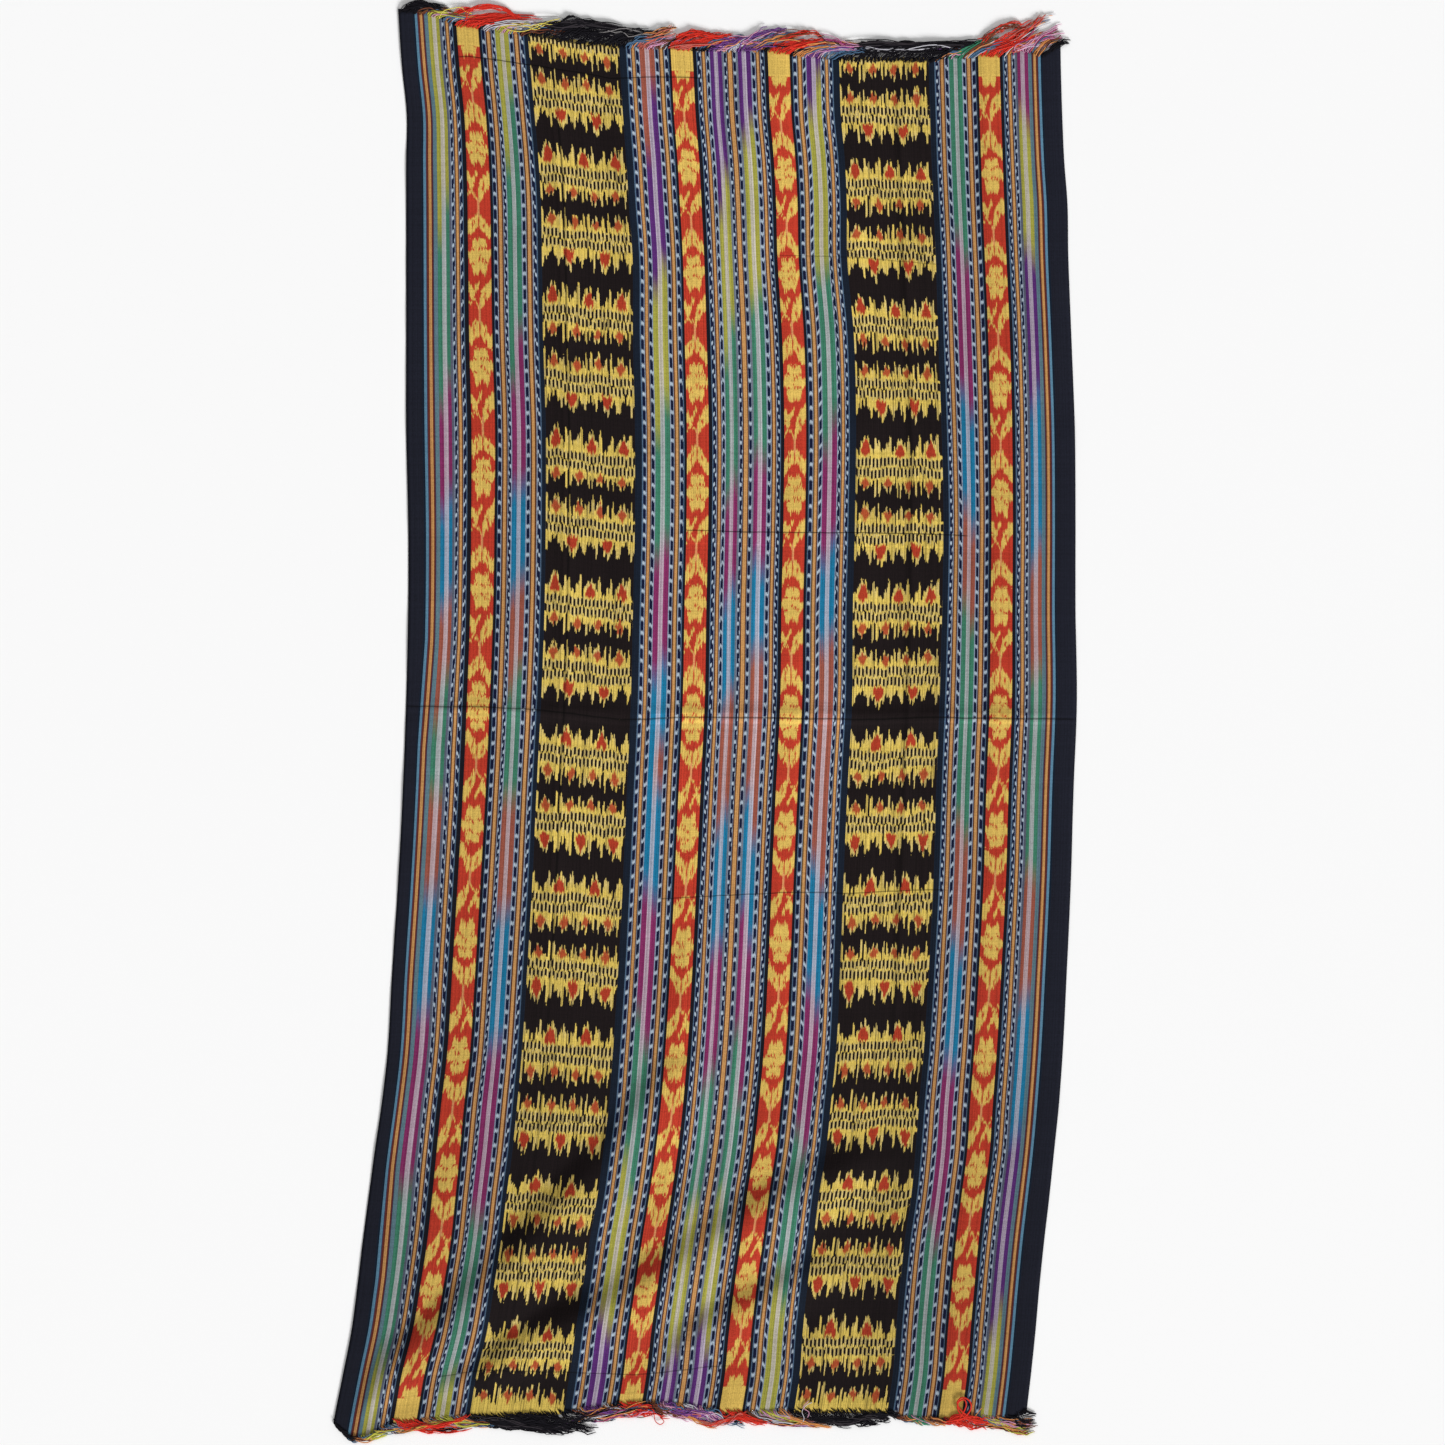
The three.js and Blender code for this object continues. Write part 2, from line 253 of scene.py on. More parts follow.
def woven_place(across, woven):
    """Woven distance from the middle warp."""
    count = len(DRIFT_HEIGHTS)
    amounts = np.array([(row[1:] * count)[:count] for row in WARP_DRIFT], dtype=float)
    drifts = [np.interp(across, table(WARP_DRIFT, 0), column) for column in amounts.T[::-1]]
    return across + blend(woven, DRIFT_HEIGHTS[::-1], np.stack(drifts))


def end_down(across, column):
    return np.interp(across, table(ENDS, 0), table(ENDS, column))


def crease_down(across):
    left, right = MID_CREASE[:2]
    return left + (right - left) * (across + HALF_WIDTH) / (2 * HALF_WIDTH)


def ridge(distance, height, spread):
    part = np.minimum(np.abs(distance) / spread, 2)
    return height * 0.5 * (1 + np.cos(math.pi * part / 2))


def soft_fold(x, down, fold):
    """Height of one soft ridge, whose two sides differ in width."""
    x0, down0, x1, down1, high, upper_spread, lower_spread = fold
    along_x, along_down = x1 - x0, down1 - down0
    part = ((x - x0) * along_x + (down - down0) * along_down) / (along_x**2 + along_down**2)
    part = np.clip(part, 0, 1)
    distance = np.hypot(x - x0 - part * along_x, down - down0 - part * along_down)
    to_right = (x - x0) * -along_down + (down - down0) * along_x
    spread = np.where(to_right * np.sign(-along_down) > 0, lower_spread, upper_spread)
    swell = FOLD_END_SHARE + (1 - FOLD_END_SHARE) * np.sin(math.pi * part)
    return ridge(distance, high * swell, spread)


def lift(across, down, x):
    """How high the underside lifts off the floor."""
    height = ridge(down - crease_down(across), *MID_CREASE[2:])
    for place, start, stop, high, spread in LONG_CREASES:
        fade = np.clip(np.minimum(down - start, stop - down) / FLAT_FADE, 0, 1)
        height = np.maximum(height, fade * ridge(across - place, high, spread))
    for fold in SOFT_FOLDS:
        height = np.maximum(height, soft_fold(x, down, fold))
    from_end = np.minimum(down - end_down(across, 1), end_down(across, 2) - down)
    inside = np.minimum(from_end, HALF_WIDTH - np.abs(across)) - FLAT_MARGIN
    return height * smoothstep(inside, 0, FLAT_FADE)


def ripples(x, down, random):
    """Slight unevenness of cloth that was folded for years, never below the floor."""
    total = np.zeros_like(x)
    for _ in range(RIPPLE_COUNT):
        angle = random.uniform(0, math.pi)
        wave = random.uniform(*RIPPLE_WAVES)
        phase = random.uniform(0, 2 * math.pi)
        total += np.sin((x * math.cos(angle) + down * math.sin(angle)) * 2 * math.pi / wave + phase)
    return np.maximum(total * RIPPLE_SIZE + RIPPLE_BASE, 0)


def cloth_grid():
    columns = np.linspace(-HALF_WIDTH, HALF_WIDTH, CLOTH_COLUMNS + 1)
    rows = np.linspace(0, 2, CLOTH_ROWS + 1)
    across, row = np.meshgrid(columns, rows)
    across, row = across.ravel(), row.ravel()
    crease = crease_down(across)
    upper = end_down(across, 1) * (1 - row) + crease * row
    lower = crease * (2 - row) + end_down(across, 2) * (row - 1)
    down = np.where(row <= 1, upper, lower)
    return across, down, row


across, down, row = cloth_grid()
x = floor_x(across, down)
height = lift(across, down, x) + ripples(x, down, np.random.default_rng(RIPPLE_SEED))

low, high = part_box("cloth")
SHIFT_X = (low[0] + high[0]) / 2 / MM - (x.min() + x.max()) / 2
SHIFT_Y = (low[1] + high[1]) / 2 / MM + (down.min() + down.max()) / 2


def add_object(name, data):
    thing = bpy.data.objects.new(name, data)
    bpy.context.collection.objects.link(thing)
    return thing


def make_mesh(name, points, faces):
    mesh = bpy.data.meshes.new(name)
    mesh.from_pydata(points, [], faces)
    mesh.polygons.foreach_set("use_smooth", [True] * len(mesh.polygons))
    mesh.update()
    return add_object(name, mesh)


def cloth_piece():
    points = np.stack([x + SHIFT_X, SHIFT_Y - down, height + FACE_HEIGHT], axis=1) * MM
    width = CLOTH_COLUMNS + 1
    faces = []
    for r in range(CLOTH_ROWS):
        for c in range(CLOTH_COLUMNS):
            corner = r * width + c
            faces.append((corner, corner + width, corner + width + 1, corner + 1))
    piece = make_mesh("woven_cloth", points.tolist(), faces)
    mesh = piece.data
    corners = np.empty(len(mesh.loops), dtype=np.int32)
    mesh.loops.foreach_get("vertex_index", corners)
    square = mesh.uv_layers.new(name="OFBake")
    flat = np.stack([(across + HALF_WIDTH) / (2 * HALF_WIDTH), 1 - row / 2], axis=1)
    square.data.foreach_set("uv", flat[corners].ravel())
    weave = mesh.uv_layers.new(name="weave")
    upward = woven_height(across, down)
    woven = np.stack([woven_place(across, upward), upward], axis=1)
    weave.data.foreach_set("uv", woven[corners].ravel())
    solid = piece.modifiers.new("thickness", "SOLIDIFY")
    solid.thickness = (FACE_HEIGHT - BACK_HEIGHT) * MM
    solid.offset = -1
    return piece


cloth = cloth_piece()
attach(cloth, "root")
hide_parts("cloth")


def linear(color):
    """Colour as the eye reads it, 0 to 255 a part, to the shader's linear one."""
    parts = []
    for part in color:
        part /= 255
        parts.append(part / 12.92 if part <= 0.04045 else ((part + 0.055) / 1.055) ** 2.4)
    return (*parts, 1.0)


COTTON_SHINE = 0.1
INK = (26, 25, 34)
NAVY = (24, 34, 50)
BORDER = (34, 36, 49)
YARN = {
    "ink": INK,
    "navy": NAVY,
    "deep_navy": (20, 36, 54),
    "border": BORDER,
    "orange": (222, 164, 100),
    "brown": (104, 62, 38),
    "rust": (112, 52, 38),
    "plum": (78, 60, 86),
    "olive": (112, 84, 48),
    "edge": (150, 164, 188),
    "sky": (86, 112, 140),
    "grey": (120, 128, 142),
    "slate": (98, 104, 122),
    "mist": (106, 138, 150),
    "steel": (104, 150, 178),
}
YELLOW = (246, 206, 104)
WIDE_YELLOW = (252, 219, 106)
WIDE_INK = (31, 23, 24)
CREAM = (236, 216, 160)
PEACH = (244, 168, 110)
RED = (210, 66, 46)
WIDE_RED = (192, 66, 42)
DASH_NAVY = (16, 24, 58)
DASH_WHITE = (196, 212, 226)
PALE = (232, 222, 232)
DYE = {
    "lime": (182, 178, 76),
    "green": (70, 140, 112),
    "magenta": (146, 50, 106),
    "blue": (32, 132, 176),
    "salmon": (172, 94, 76),
    "purple": (98, 48, 124),
}

# How a thread group takes its colour, as the code kept in the stripe ramp's alpha.
CODES = {"edge": 0.2, "dash": 0.4, "dye_in": 0.6, "dye_out": 0.8, "pale": 1.0}

# The stripes from the middle outward: what each is, and its width. Between the four groups lie
# an inner ikat band, a wide ikat band and an outer ikat band.
GROUP_1 = (
    ("orange", 2.6), ("brown", 1.8), ("edge", 0.6), ("dash", 3.8), ("edge", 0.6), ("grey", 2.4),
    ("dye_in", 6.4), ("pale", 6.2), ("dye_out", 6.5), ("edge", 1.9), ("dash", 4.0), ("edge", 1.3),
    ("brown", 1.9), ("orange", 3.1), ("brown", 1.9), ("edge", 1.1), ("dash", 4.2), ("sky", 1.3),
    ("ink", 5.3),
)
GROUP_2 = (
    ("ink", 3.2), ("sky", 1.7), ("dash", 3.8), ("edge", 1.3), ("olive", 2.0), ("orange", 3.6),
    ("brown", 2.0), ("edge", 0.9), ("dash", 3.7), ("edge", 1.4), ("dye_in", 7.5), ("pale", 6.4),
    ("dye_out", 7.5), ("edge", 1.3), ("dash", 3.9), ("grey", 1.2), ("brown", 1.2), ("orange", 3.2),
    ("brown", 1.4), ("edge", 1.3), ("dash", 4.0), ("sky", 1.6), ("navy", 10.1),
)
GROUP_3 = (
    ("navy", 5.6), ("sky", 1.8), ("dash", 4.2), ("edge", 1.6), ("brown", 2.3), ("orange", 4.0),
    ("brown", 2.0), ("edge", 1.3), ("dash", 4.1), ("edge", 1.6), ("dye_in", 6.9), ("pale", 5.8),
    ("dye_out", 7.3), ("edge", 1.2), ("dash", 3.8), ("edge", 1.2), ("brown", 2.1), ("orange", 4.0),
    ("brown", 2.3), ("edge", 1.1), ("dash", 4.2), ("sky", 1.2), ("ink", 3.9),
)
GROUP_4 = (
    ("ink", 3.1), ("sky", 1.4), ("dash", 3.9), ("edge", 0.9), ("brown", 1.9), ("orange", 3.4),
    ("brown", 1.7), ("edge", 1.1), ("dash", 3.8), ("edge", 1.2), ("slate", 3.2), ("dye_in", 4.8),
    ("pale", 6.7), ("dye_out", 6.2), ("mist", 5.3), ("plum", 1.6), ("rust", 1.7), ("orange", 4.4),
    ("rust", 3.3), ("plum", 1.2), ("steel", 4.6), ("deep_navy", 3.2), ("border", 24.0),
)
# Where one space-dyed stripe's region ends and the next begins.
DYE_EDGES = (-400, -230, -70, 0, 70, 230, 400)
INNER_BAND = (56.9, 90.3)
WIDE_BAND = (164.5, 296.0)
OUTER_BAND = (369.5, 407.4)

# Space-dyed lines: each dye, and how far down the pattern it ends on the line nearer the middle
# and on the one nearer the selvedge, in thousandths. From the left selvedge to the right one. A
# dye with no second number shows on the first line only.
DYES = (
    (("lime", 129, 160), ("green", 262, 283), ("magenta", 345, 359), ("blue", 418, 430),
     ("salmon", 476, 513), ("green", 564, 564), ("salmon", 632, 636), ("blue", 714, 721),
     ("magenta", 833, 839), ("green", 962, 958), ("lime", 1000, 1000)),
    (("lime", 44, 100), ("green", 223, 263), ("magenta", 336, 339), ("blue", 405, 417),
     ("salmon", 467, 486), ("green", 565, 565), ("salmon", 644, 648), ("blue", 735, 741),
     ("magenta", 861, 857), ("green", 972, 982), ("lime", 1000, 1000)),
    (("salmon", 29, 83), ("purple", 167, 186), ("lime", 267, 293), ("green", 370, 381),
     ("magenta", 458, 469), ("blue", 518, 623), ("salmon", 552, None), ("blue", 633, None),
     ("magenta", 736, 711), ("green", 841, 812), ("lime", 938, 924), ("purple", 1000, 1000)),
    (("purple", 95, 126), ("lime", 207, 236), ("green", 324, 339), ("magenta", 401, 416),
     ("blue", 480, 494), ("salmon", 569, 584), ("blue", 663, 670), ("magenta", 754, 764),
     ("green", 846, 853), ("lime", 951, 962), ("purple", 1000, 1000)),
    (("purple", 67, 51), ("lime", 195, 184), ("green", 305, 309), ("magenta", 383, 390),
     ("blue", 453, 450), ("salmon", 558, 591), ("blue", 639, 664), ("magenta", 727, 775),
     ("green", 843, 873), ("lime", 935, 956), ("purple", 1000, 1000)),
    (("purple", 42, 15), ("lime", 171, 167), ("green", 301, 279), ("magenta", 383, 368),
     ("blue", 446, 438), ("salmon", 606, 628), ("blue", 696, 713), ("magenta", 797, 815),
     ("green", 903, 928), ("lime", 1000, 1000)),
    (("green", 137, 156), ("magenta", 255, 274), ("blue", 341, 359), ("salmon", 412, 430),
     ("green", 576, 591), ("salmon", 660, 675), ("blue", 749, 756), ("magenta", 864, 882),
     ("green", 1000, 1000)),
    (("magenta", 41, 56), ("lime", 144, 155), ("purple", 268, 257), ("blue", 384, 369),
     ("salmon", 467, 463), ("green", 614, 622), ("salmon", 708, 704), ("blue", 807, 800),
     ("purple", 945, 927), ("lime", 1000, 1000)),
)

# The charted repeat of the narrow ikat bands: x runs across the band, 0 to 23, and the rows run
# towards the middle of the cloth from the tip of a flower, 0 to 110. Each chart is the first or
# last row of a yellow figure by x. OFF lies outside the repeat. The lower half turns x round.
NARROW_UNITS = 23
NARROW_REPEAT = 110
NARROW_START = 23.5
OFF = 130
FLOWER_FROM = ((0, 14), (1.5, 11.8), (3.2, 11), (3.9, 3), (5, 0), (8, 0), (11, 0.4), (14, 0), (17, 0),
               (18.4, 3), (19, 11.5), (21, 11.8), (22.5, 13), (23, 15))
FLOWER_TO = ((0, 20), (1.5, 22.5), (3, 24), (3.9, 33), (5, 37), (7, 36.5), (9, 35), (11.6, 32),
             (14, 35), (16.5, 37), (18.2, 35), (18.9, 26), (20.5, 23), (22.5, 21.5), (23, 19))
RIGHT_LEAF_FROM = ((0, OFF), (10.9, OFF), (11.4, 60), (12.3, 55.5), (13.5, 52), (16, 48), (18, 45),
                   (20, 42.5), (22, 40.5), (23, 40))
RIGHT_LEAF_TO = ((0, OFF), (10.9, OFF), (11.4, 72), (12.3, 71), (13.5, 69), (16, 65.5), (18, 62.5),
                 (20, 60), (22, 57.5), (23, 57))
LEFT_LEAF_FROM = ((0, 45), (1, 44), (2.5, 46), (4, 50), (5, 51.5), (6, 49.5), (7.5, 46), (9, 43),
                  (10, 41.5), (10.8, 42), (11.3, OFF), (23, OFF))
LEFT_LEAF_TO = ((0, 56), (1.5, 58), (3, 61), (4.5, 62), (5.5, 59), (7, 54.5), (8.5, 51),
                (10, 48.5), (10.8, 46), (11.3, OFF), (23, OFF))
BRANCH_FROM = ((0, 66), (1.2, 63.5), (2.5, 61), (4, 60), (5.5, 61), (7, 62.5), (8.5, 65),
               (10, 67.5), (11, 69), (11.6, OFF), (23, OFF))
BRANCH_TO = ((0, 69.5), (1.2, 67), (2.5, 64.5), (4, 63.5), (5.5, 64.5), (7, 66), (8.5, 68.5),
             (10, 71.5), (11, 72.5), (11.6, OFF), (23, OFF))
HEART_FROM = ((0, 92), (2, 89), (4, 86), (6, 83.5), (8, 82.5), (10, 81), (12, 81.5), (14, 83.5),
              (16, 86.5), (18, 90), (20, 93), (23, 96))
HEART_TO = ((0, 108.5), (2, 107), (4, 104.5), (6, 102), (8, 99.5), (10, 97.5), (11.5, 97.5),
            (13, 99), (15, 101.5), (17, 104), (19, 107), (21, 109.5), (23, 110.5))
# Small red dots and flecks inside the figures: x, row, half width, half height.
FLECKS = (
    (5, 10.2, 2.4, 1.6), (17.4, 10.2, 2.4, 1.6), (5, 23.6, 2.4, 1.5), (17.4, 23.4, 2.4, 1.5),
    (11.2, 10.4, 1.6, 2.2), (14, 11, 1.1, 3), (11.3, 19.6, 1.8, 2.3), (14.6, 21.6, 1.4, 2.3),
    (16.3, 57.5, 1.7, 4), (10.8, 90, 0.9, 12), (4.5, 94, 1.1, 5), (6.3, 88.6, 1, 3),
    (16, 94, 1.1, 4.4),
)
# The pale stem between two leaves, in the same order.
STEM = (10.7, 76, 1.0, 9)
# How far the red dye bled into the ends of a yellow figure, in rows.
BLEED = 0.55

# The charted repeat of the wide bands: x 0 to 88 across, rows 0 to 144 towards the middle.
# Bar A points away from the middle with its three large drops, bar B towards it with two.
WIDE_UNITS = 88
WIDE_REPEAT = 144
WIDE_START = 139.5
WIDE_COLUMNS = 92
# Rows above the first that still belong to a repeat.
WIDE_BEFORE = 5.0
FAR = 200
BAR_A_FROM = (
    (0, 14), (3.5, 13), (5, 8), (6.2, 3), (8.5, 1), (10, -1), (12, 1), (13.5, 5), (15, 10), (16.5, 13),
    (18.3, 16), (19.2, 2), (21.5, 3), (24, 5), (26, 12), (28.5, 14), (31, 9), (33, 6), (34.1, -1),
    (36, 0), (36.6, 14), (38.2, 18), (40, 9), (42, 4), (44, 2), (45.4, 0), (47, 3), (49, 6),
    (51, 10), (52.5, 13), (53, 0), (54.6, 0), (55.4, 12), (57, 18), (59, 17), (61, 12), (64.2, 10),
    (64.8, 2), (66.4, 2), (67, 14), (69, 16), (70.5, 10), (73, 5), (76, 1), (77.6, -1), (80, 1),
    (82, 7), (83, -3), (84.6, -2), (85.4, 14), (88, 18),
)
BAR_A_TO = (
    (0, 59), (1.6, 59), (2.3, 48), (3.6, 46), (5, 51), (7, 54), (10, 57), (12.5, 54), (15, 50),
    (16.5, 47), (18.8, 46), (19.3, 61), (20.6, 61), (21.2, 46), (23, 46), (23.5, 60), (25.7, 60),
    (26.4, 50), (27.6, 47), (29, 54), (31, 56), (33, 58), (35.5, 56), (37, 53), (39.5, 48),
    (40.8, 46), (41.2, 60), (42.5, 60), (43.1, 46), (44.4, 46), (44.9, 59), (46.1, 59), (46.7, 46),
    (48, 47), (50, 54), (52, 56), (53.8, 59), (55.5, 56), (57, 50), (59.6, 46), (60.1, 61),
    (61.5, 61), (62.1, 46), (65.3, 46), (65.8, 58), (67, 58), (67.6, 46), (69.5, 48), (71, 53),
    (73, 56), (75, 58), (77, 55), (79, 51), (81, 48), (83.5, 46), (84, 59), (85.3, 59), (86, 46),
    (88, 46),
)
DROPS_A_FROM = (
    (0, FAR), (4.2, FAR), (4.8, 15), (6.5, 9.5), (8.4, 5), (9.8, 3.5), (11.3, 5), (13.1, 9.5),
    (14.8, 15), (15.4, FAR), (39.6, FAR), (40.2, 17), (42, 12), (43.8, 8), (45.3, 5.5), (46.8, 8),
    (48.6, 12), (50.4, 17), (51, FAR), (71.2, FAR), (71.8, 17), (73.2, 12), (75, 7), (77, 4.5),
    (79, 7), (80.8, 12), (82.2, 17), (82.8, FAR), (88, FAR),
)
DROPS_A_TO = (
    (0, 17), (4.8, 17), (7, 20), (9.8, 21.5), (12.6, 20), (14.8, 17), (40.2, 20), (45.3, 21.5),
    (50.4, 20.5), (71.8, 19), (77, 21), (82.2, 19), (88, 18),
)
# Small diamonds on the far edge of bar A: half height by x, about the row named.
DIAMONDS_A_ROW = 48.5
DIAMONDS_A = (
    (0, 0), (4, 0), (9.6, 8), (15.2, 0), (27.6, 0), (33, 7.5), (38.4, 0), (48.6, 0), (53.8, 7),
    (59, 0), (69.8, 0), (75.2, 8), (80.6, 0), (88, 0),
)
BAR_B_FROM = (
    (0, 68), (1.6, 68), (2.2, 81), (4, 79), (6, 75), (8, 71), (9.6, 67), (10.4, 67), (12, 70),
    (13.6, 73), (15.6, 77), (17.2, 77), (17.8, 71), (19.4, 71), (20.3, 75), (20.8, 84), (22.3, 84),
    (22.8, 68), (24.1, 68), (24.6, 84), (26.5, 80), (28.5, 78), (30, 74), (32, 71), (34.5, 71),
    (35.5, 74), (37, 78), (39.5, 76), (40.6, 83), (41.1, 68), (42.4, 68), (43, 83), (44.5, 83),
    (45, 68), (47.2, 68), (48, 78), (50, 75), (52, 71), (54, 68), (55.6, 71), (57, 78), (59.4, 82),
    (60.1, 68), (61.6, 68), (62.2, 83), (65.2, 83), (65.7, 68), (67, 68), (67.6, 78), (69.5, 80),
    (71.5, 75), (73.5, 70), (75.5, 67), (77.5, 69), (80, 72), (81.5, 76), (83.4, 83), (84, 68),
    (85.3, 68), (85.9, 83), (88, 83),
)
BAR_B_TO = (
    (0, 126), (1.5, 125), (3, 121), (5, 116), (7, 113), (10.5, 112), (13, 117), (14.5, 121),
    (16, 127), (17, 125), (17.8, 116), (20, 118), (22, 122), (24.5, 126), (27.5, 130), (30.5, 124),
    (33, 119), (35.5, 114), (36.6, 125), (38.6, 126), (40, 122), (42, 117), (44.5, 114), (47, 117),
    (49, 121), (50.2, 127), (51.3, 123), (52.4, 113), (54.5, 113), (56, 118), (58, 124), (61, 130),
    (63.5, 125), (66, 119), (68.4, 113), (69.8, 117), (70.6, 127), (73, 123), (75, 117), (77, 112),
    (80, 111), (82, 115), (83.5, 120), (84.7, 126), (86.2, 123), (88, 119),
)
DROPS_B_FROM = ((0, 108), (20, 108), (23.5, 107), (26.2, 108.5), (29, 107), (31, 108), (55.5, 108),
                (58.5, 107), (61, 109.5), (64, 107), (66, 108), (88, 108))
DROPS_B_TO = (
    (0, 0), (20.2, 0), (20.8, 113), (23, 118), (24.6, 121), (26.3, 123), (28, 121), (30, 117),
    (31.9, 112), (32.5, 0), (55.2, 0), (55.8, 113), (58, 118), (59.5, 121), (61, 122.5), (62.6, 121),
    (64.2, 118), (66.3, 112), (66.9, 0), (88, 0),
)
DIAMONDS_B_ROW = 79.5
DIAMONDS_B = (
    (0, 0), (4.2, 0), (9.8, 8), (15.4, 0), (27.6, 0), (33, 7.5), (38.4, 0), (48.8, 0), (54, 7),
    (59.2, 0), (70, 0), (75.5, 8), (81, 0), (88, 0),
)
# Rows of black dashes, each on every second bundle: row, and whether on the odd bundles. Then half
# the height of a dash, half its width as a share of a pair of bundles, and how many pairs lie across
# the band. Past LAST_DASHES rows from the middle the lower end has none.
DASH_ROWS = ((27, 1), (36.6, 0), (92.2, 1), (102, 0))
DASH_HALF = 4.0
DASH_WIDE = 0.31
LAST_DASHES = 671.0
DASH_PAIRS = 23
DASH_BUNDLE = WIDE_UNITS / DASH_PAIRS

# Widths of a thread and of a weft; the repeat of the dashed lines and how much of it is navy; half
# the length of the pattern; the share of a space-dyed line over which two dyes blend; and by how
# much of it the place of a blend differs from thread to thread.
THREAD = 0.72
WEFT = 1.3
DASH_PITCH = 21.0
DASH_SHARE = 0.74
PATTERN_HALF = 1020.0
DYE_BLEND = 0.012
DYE_JITTER = 0.004
# Stripes closer than this share one shift of their dashes, which is a slant, a shift of the line
# and a shift of the thread.
DASH_LINE = 6.0
DASH_SLANT = 2.4
DASH_SHIFTS = (4.0, 1.3)
# Seeds of the fixed random numbers, and what sets the left side and the lower half apart in them.
SEEDS = {"thread": 3.5, "crossing": 47.5, "dash line": 11.5, "dash slant": 13.5, "flower": 21.5,
         "spike": 29.5, "column": 31.5, "pair": 33.5, "stray": 35.5, "weft": 41.5}
APART_LEFT, APART_LOWER, DASH_APART = 170.0, 340.0, 100.0
# How far a figure's threads lie off in rows: by bundle, by thread, and slowly along the cloth.
NARROW_WANDER, NARROW_STEP, NARROW_DRIFT = 5.0, 1.2, 14.0
COLUMN_WANDER, PAIR_WANDER, WIDE_STEP, WIDE_DRIFT = 3.6, 2.4, 0.8, 12.0
# Every second bundle of a wide bar ends this many rows further in, at least and at most more.
SPIKE_LEAST, SPIKE_MORE = 1.0, 6.5
# Brightness: the darkest spot, and how much a thread, a weft and a crossing may add.
DARKEST, THREAD_LIGHT, WEFT_LIGHT, CROSSING_LIGHT = 0.39, 0.28, 0.1, 0.26
# Slow fading: its size and scale, and how much darker the outer parts and the lower end are.
FADING, FADING_SCALE, OUTER_DARK, LOWER_DARK = 0.24, 0.011, 0.13, 0.16
DRIFT_SCALE = 0.017
# Relief of the ribs, the wefts and the crossings, its strength, and its depth in metres.
RIB, WEFT_RIB, CROSSING_RIB, RELIEF, RELIEF_DEPTH = 0.5, 0.3, 0.3, 0.25, 0.0002
# Between the inner and the outer narrow band; how soft a band's edge is; and where, in rows from
# the middle, the narrow bands turn plain yellow.
BAND_PARTING = 230.0
BAND_EDGE = 0.3
NARROW_END = 659.0

# Painted shade and painted highlight in thin lines along the weft, where the cloth lay folded: u of
# both ends, v of both ends, half width, and how much darker they are (or, below nought, lighter).
PAINTED_WEFT_SHADING = (
    (-408, -45, 971, 979, 1.0, 0.7), (-90, 330, 282, 280, 0.9, 0.7), (-90, 330, 262, 261, 1.1, -0.18),
    (-110, 310, -268, -262, 0.9, 0.6), (-350, 60, -962, -958, 0.9, 0.5), (-500, 500, 1, -2, 1.2, 0.6),
    (-500, 500, 6, 3, 2.0, -0.12), (-500, 500, -6, -8, 2.4, -0.12), (60, 300, 700, 696, 0.8, 0.4),
    (-300, -160, 560, 557, 0.8, -0.16), (100, 400, 130, 134, 0.8, -0.14),
)

# Painted shade and painted highlight beside the lengthwise creases, where the cloth lay folded:
# u, v from and to, half width, how much darker (below nought, lighter).
PAINTED_WARP_SHADING = (
    (-262, -380, 900, 1.4, 0.5), (-266, -380, 900, 2.2, -0.16), (-262, -900, -380, 1.6, 0.25),
    (247, -560, 940, 3.4, 0.22), (254, -560, 940, 2.6, -0.1),
)


def plug(tree, value, target):
    """Links a number or a socket to the target, or gives the target a plain value."""
    if isinstance(value, Num):
        value = value.socket
    if isinstance(value, bpy.types.NodeSocket):
        tree.links.new(value, target)
    else:
        target.default_value = value


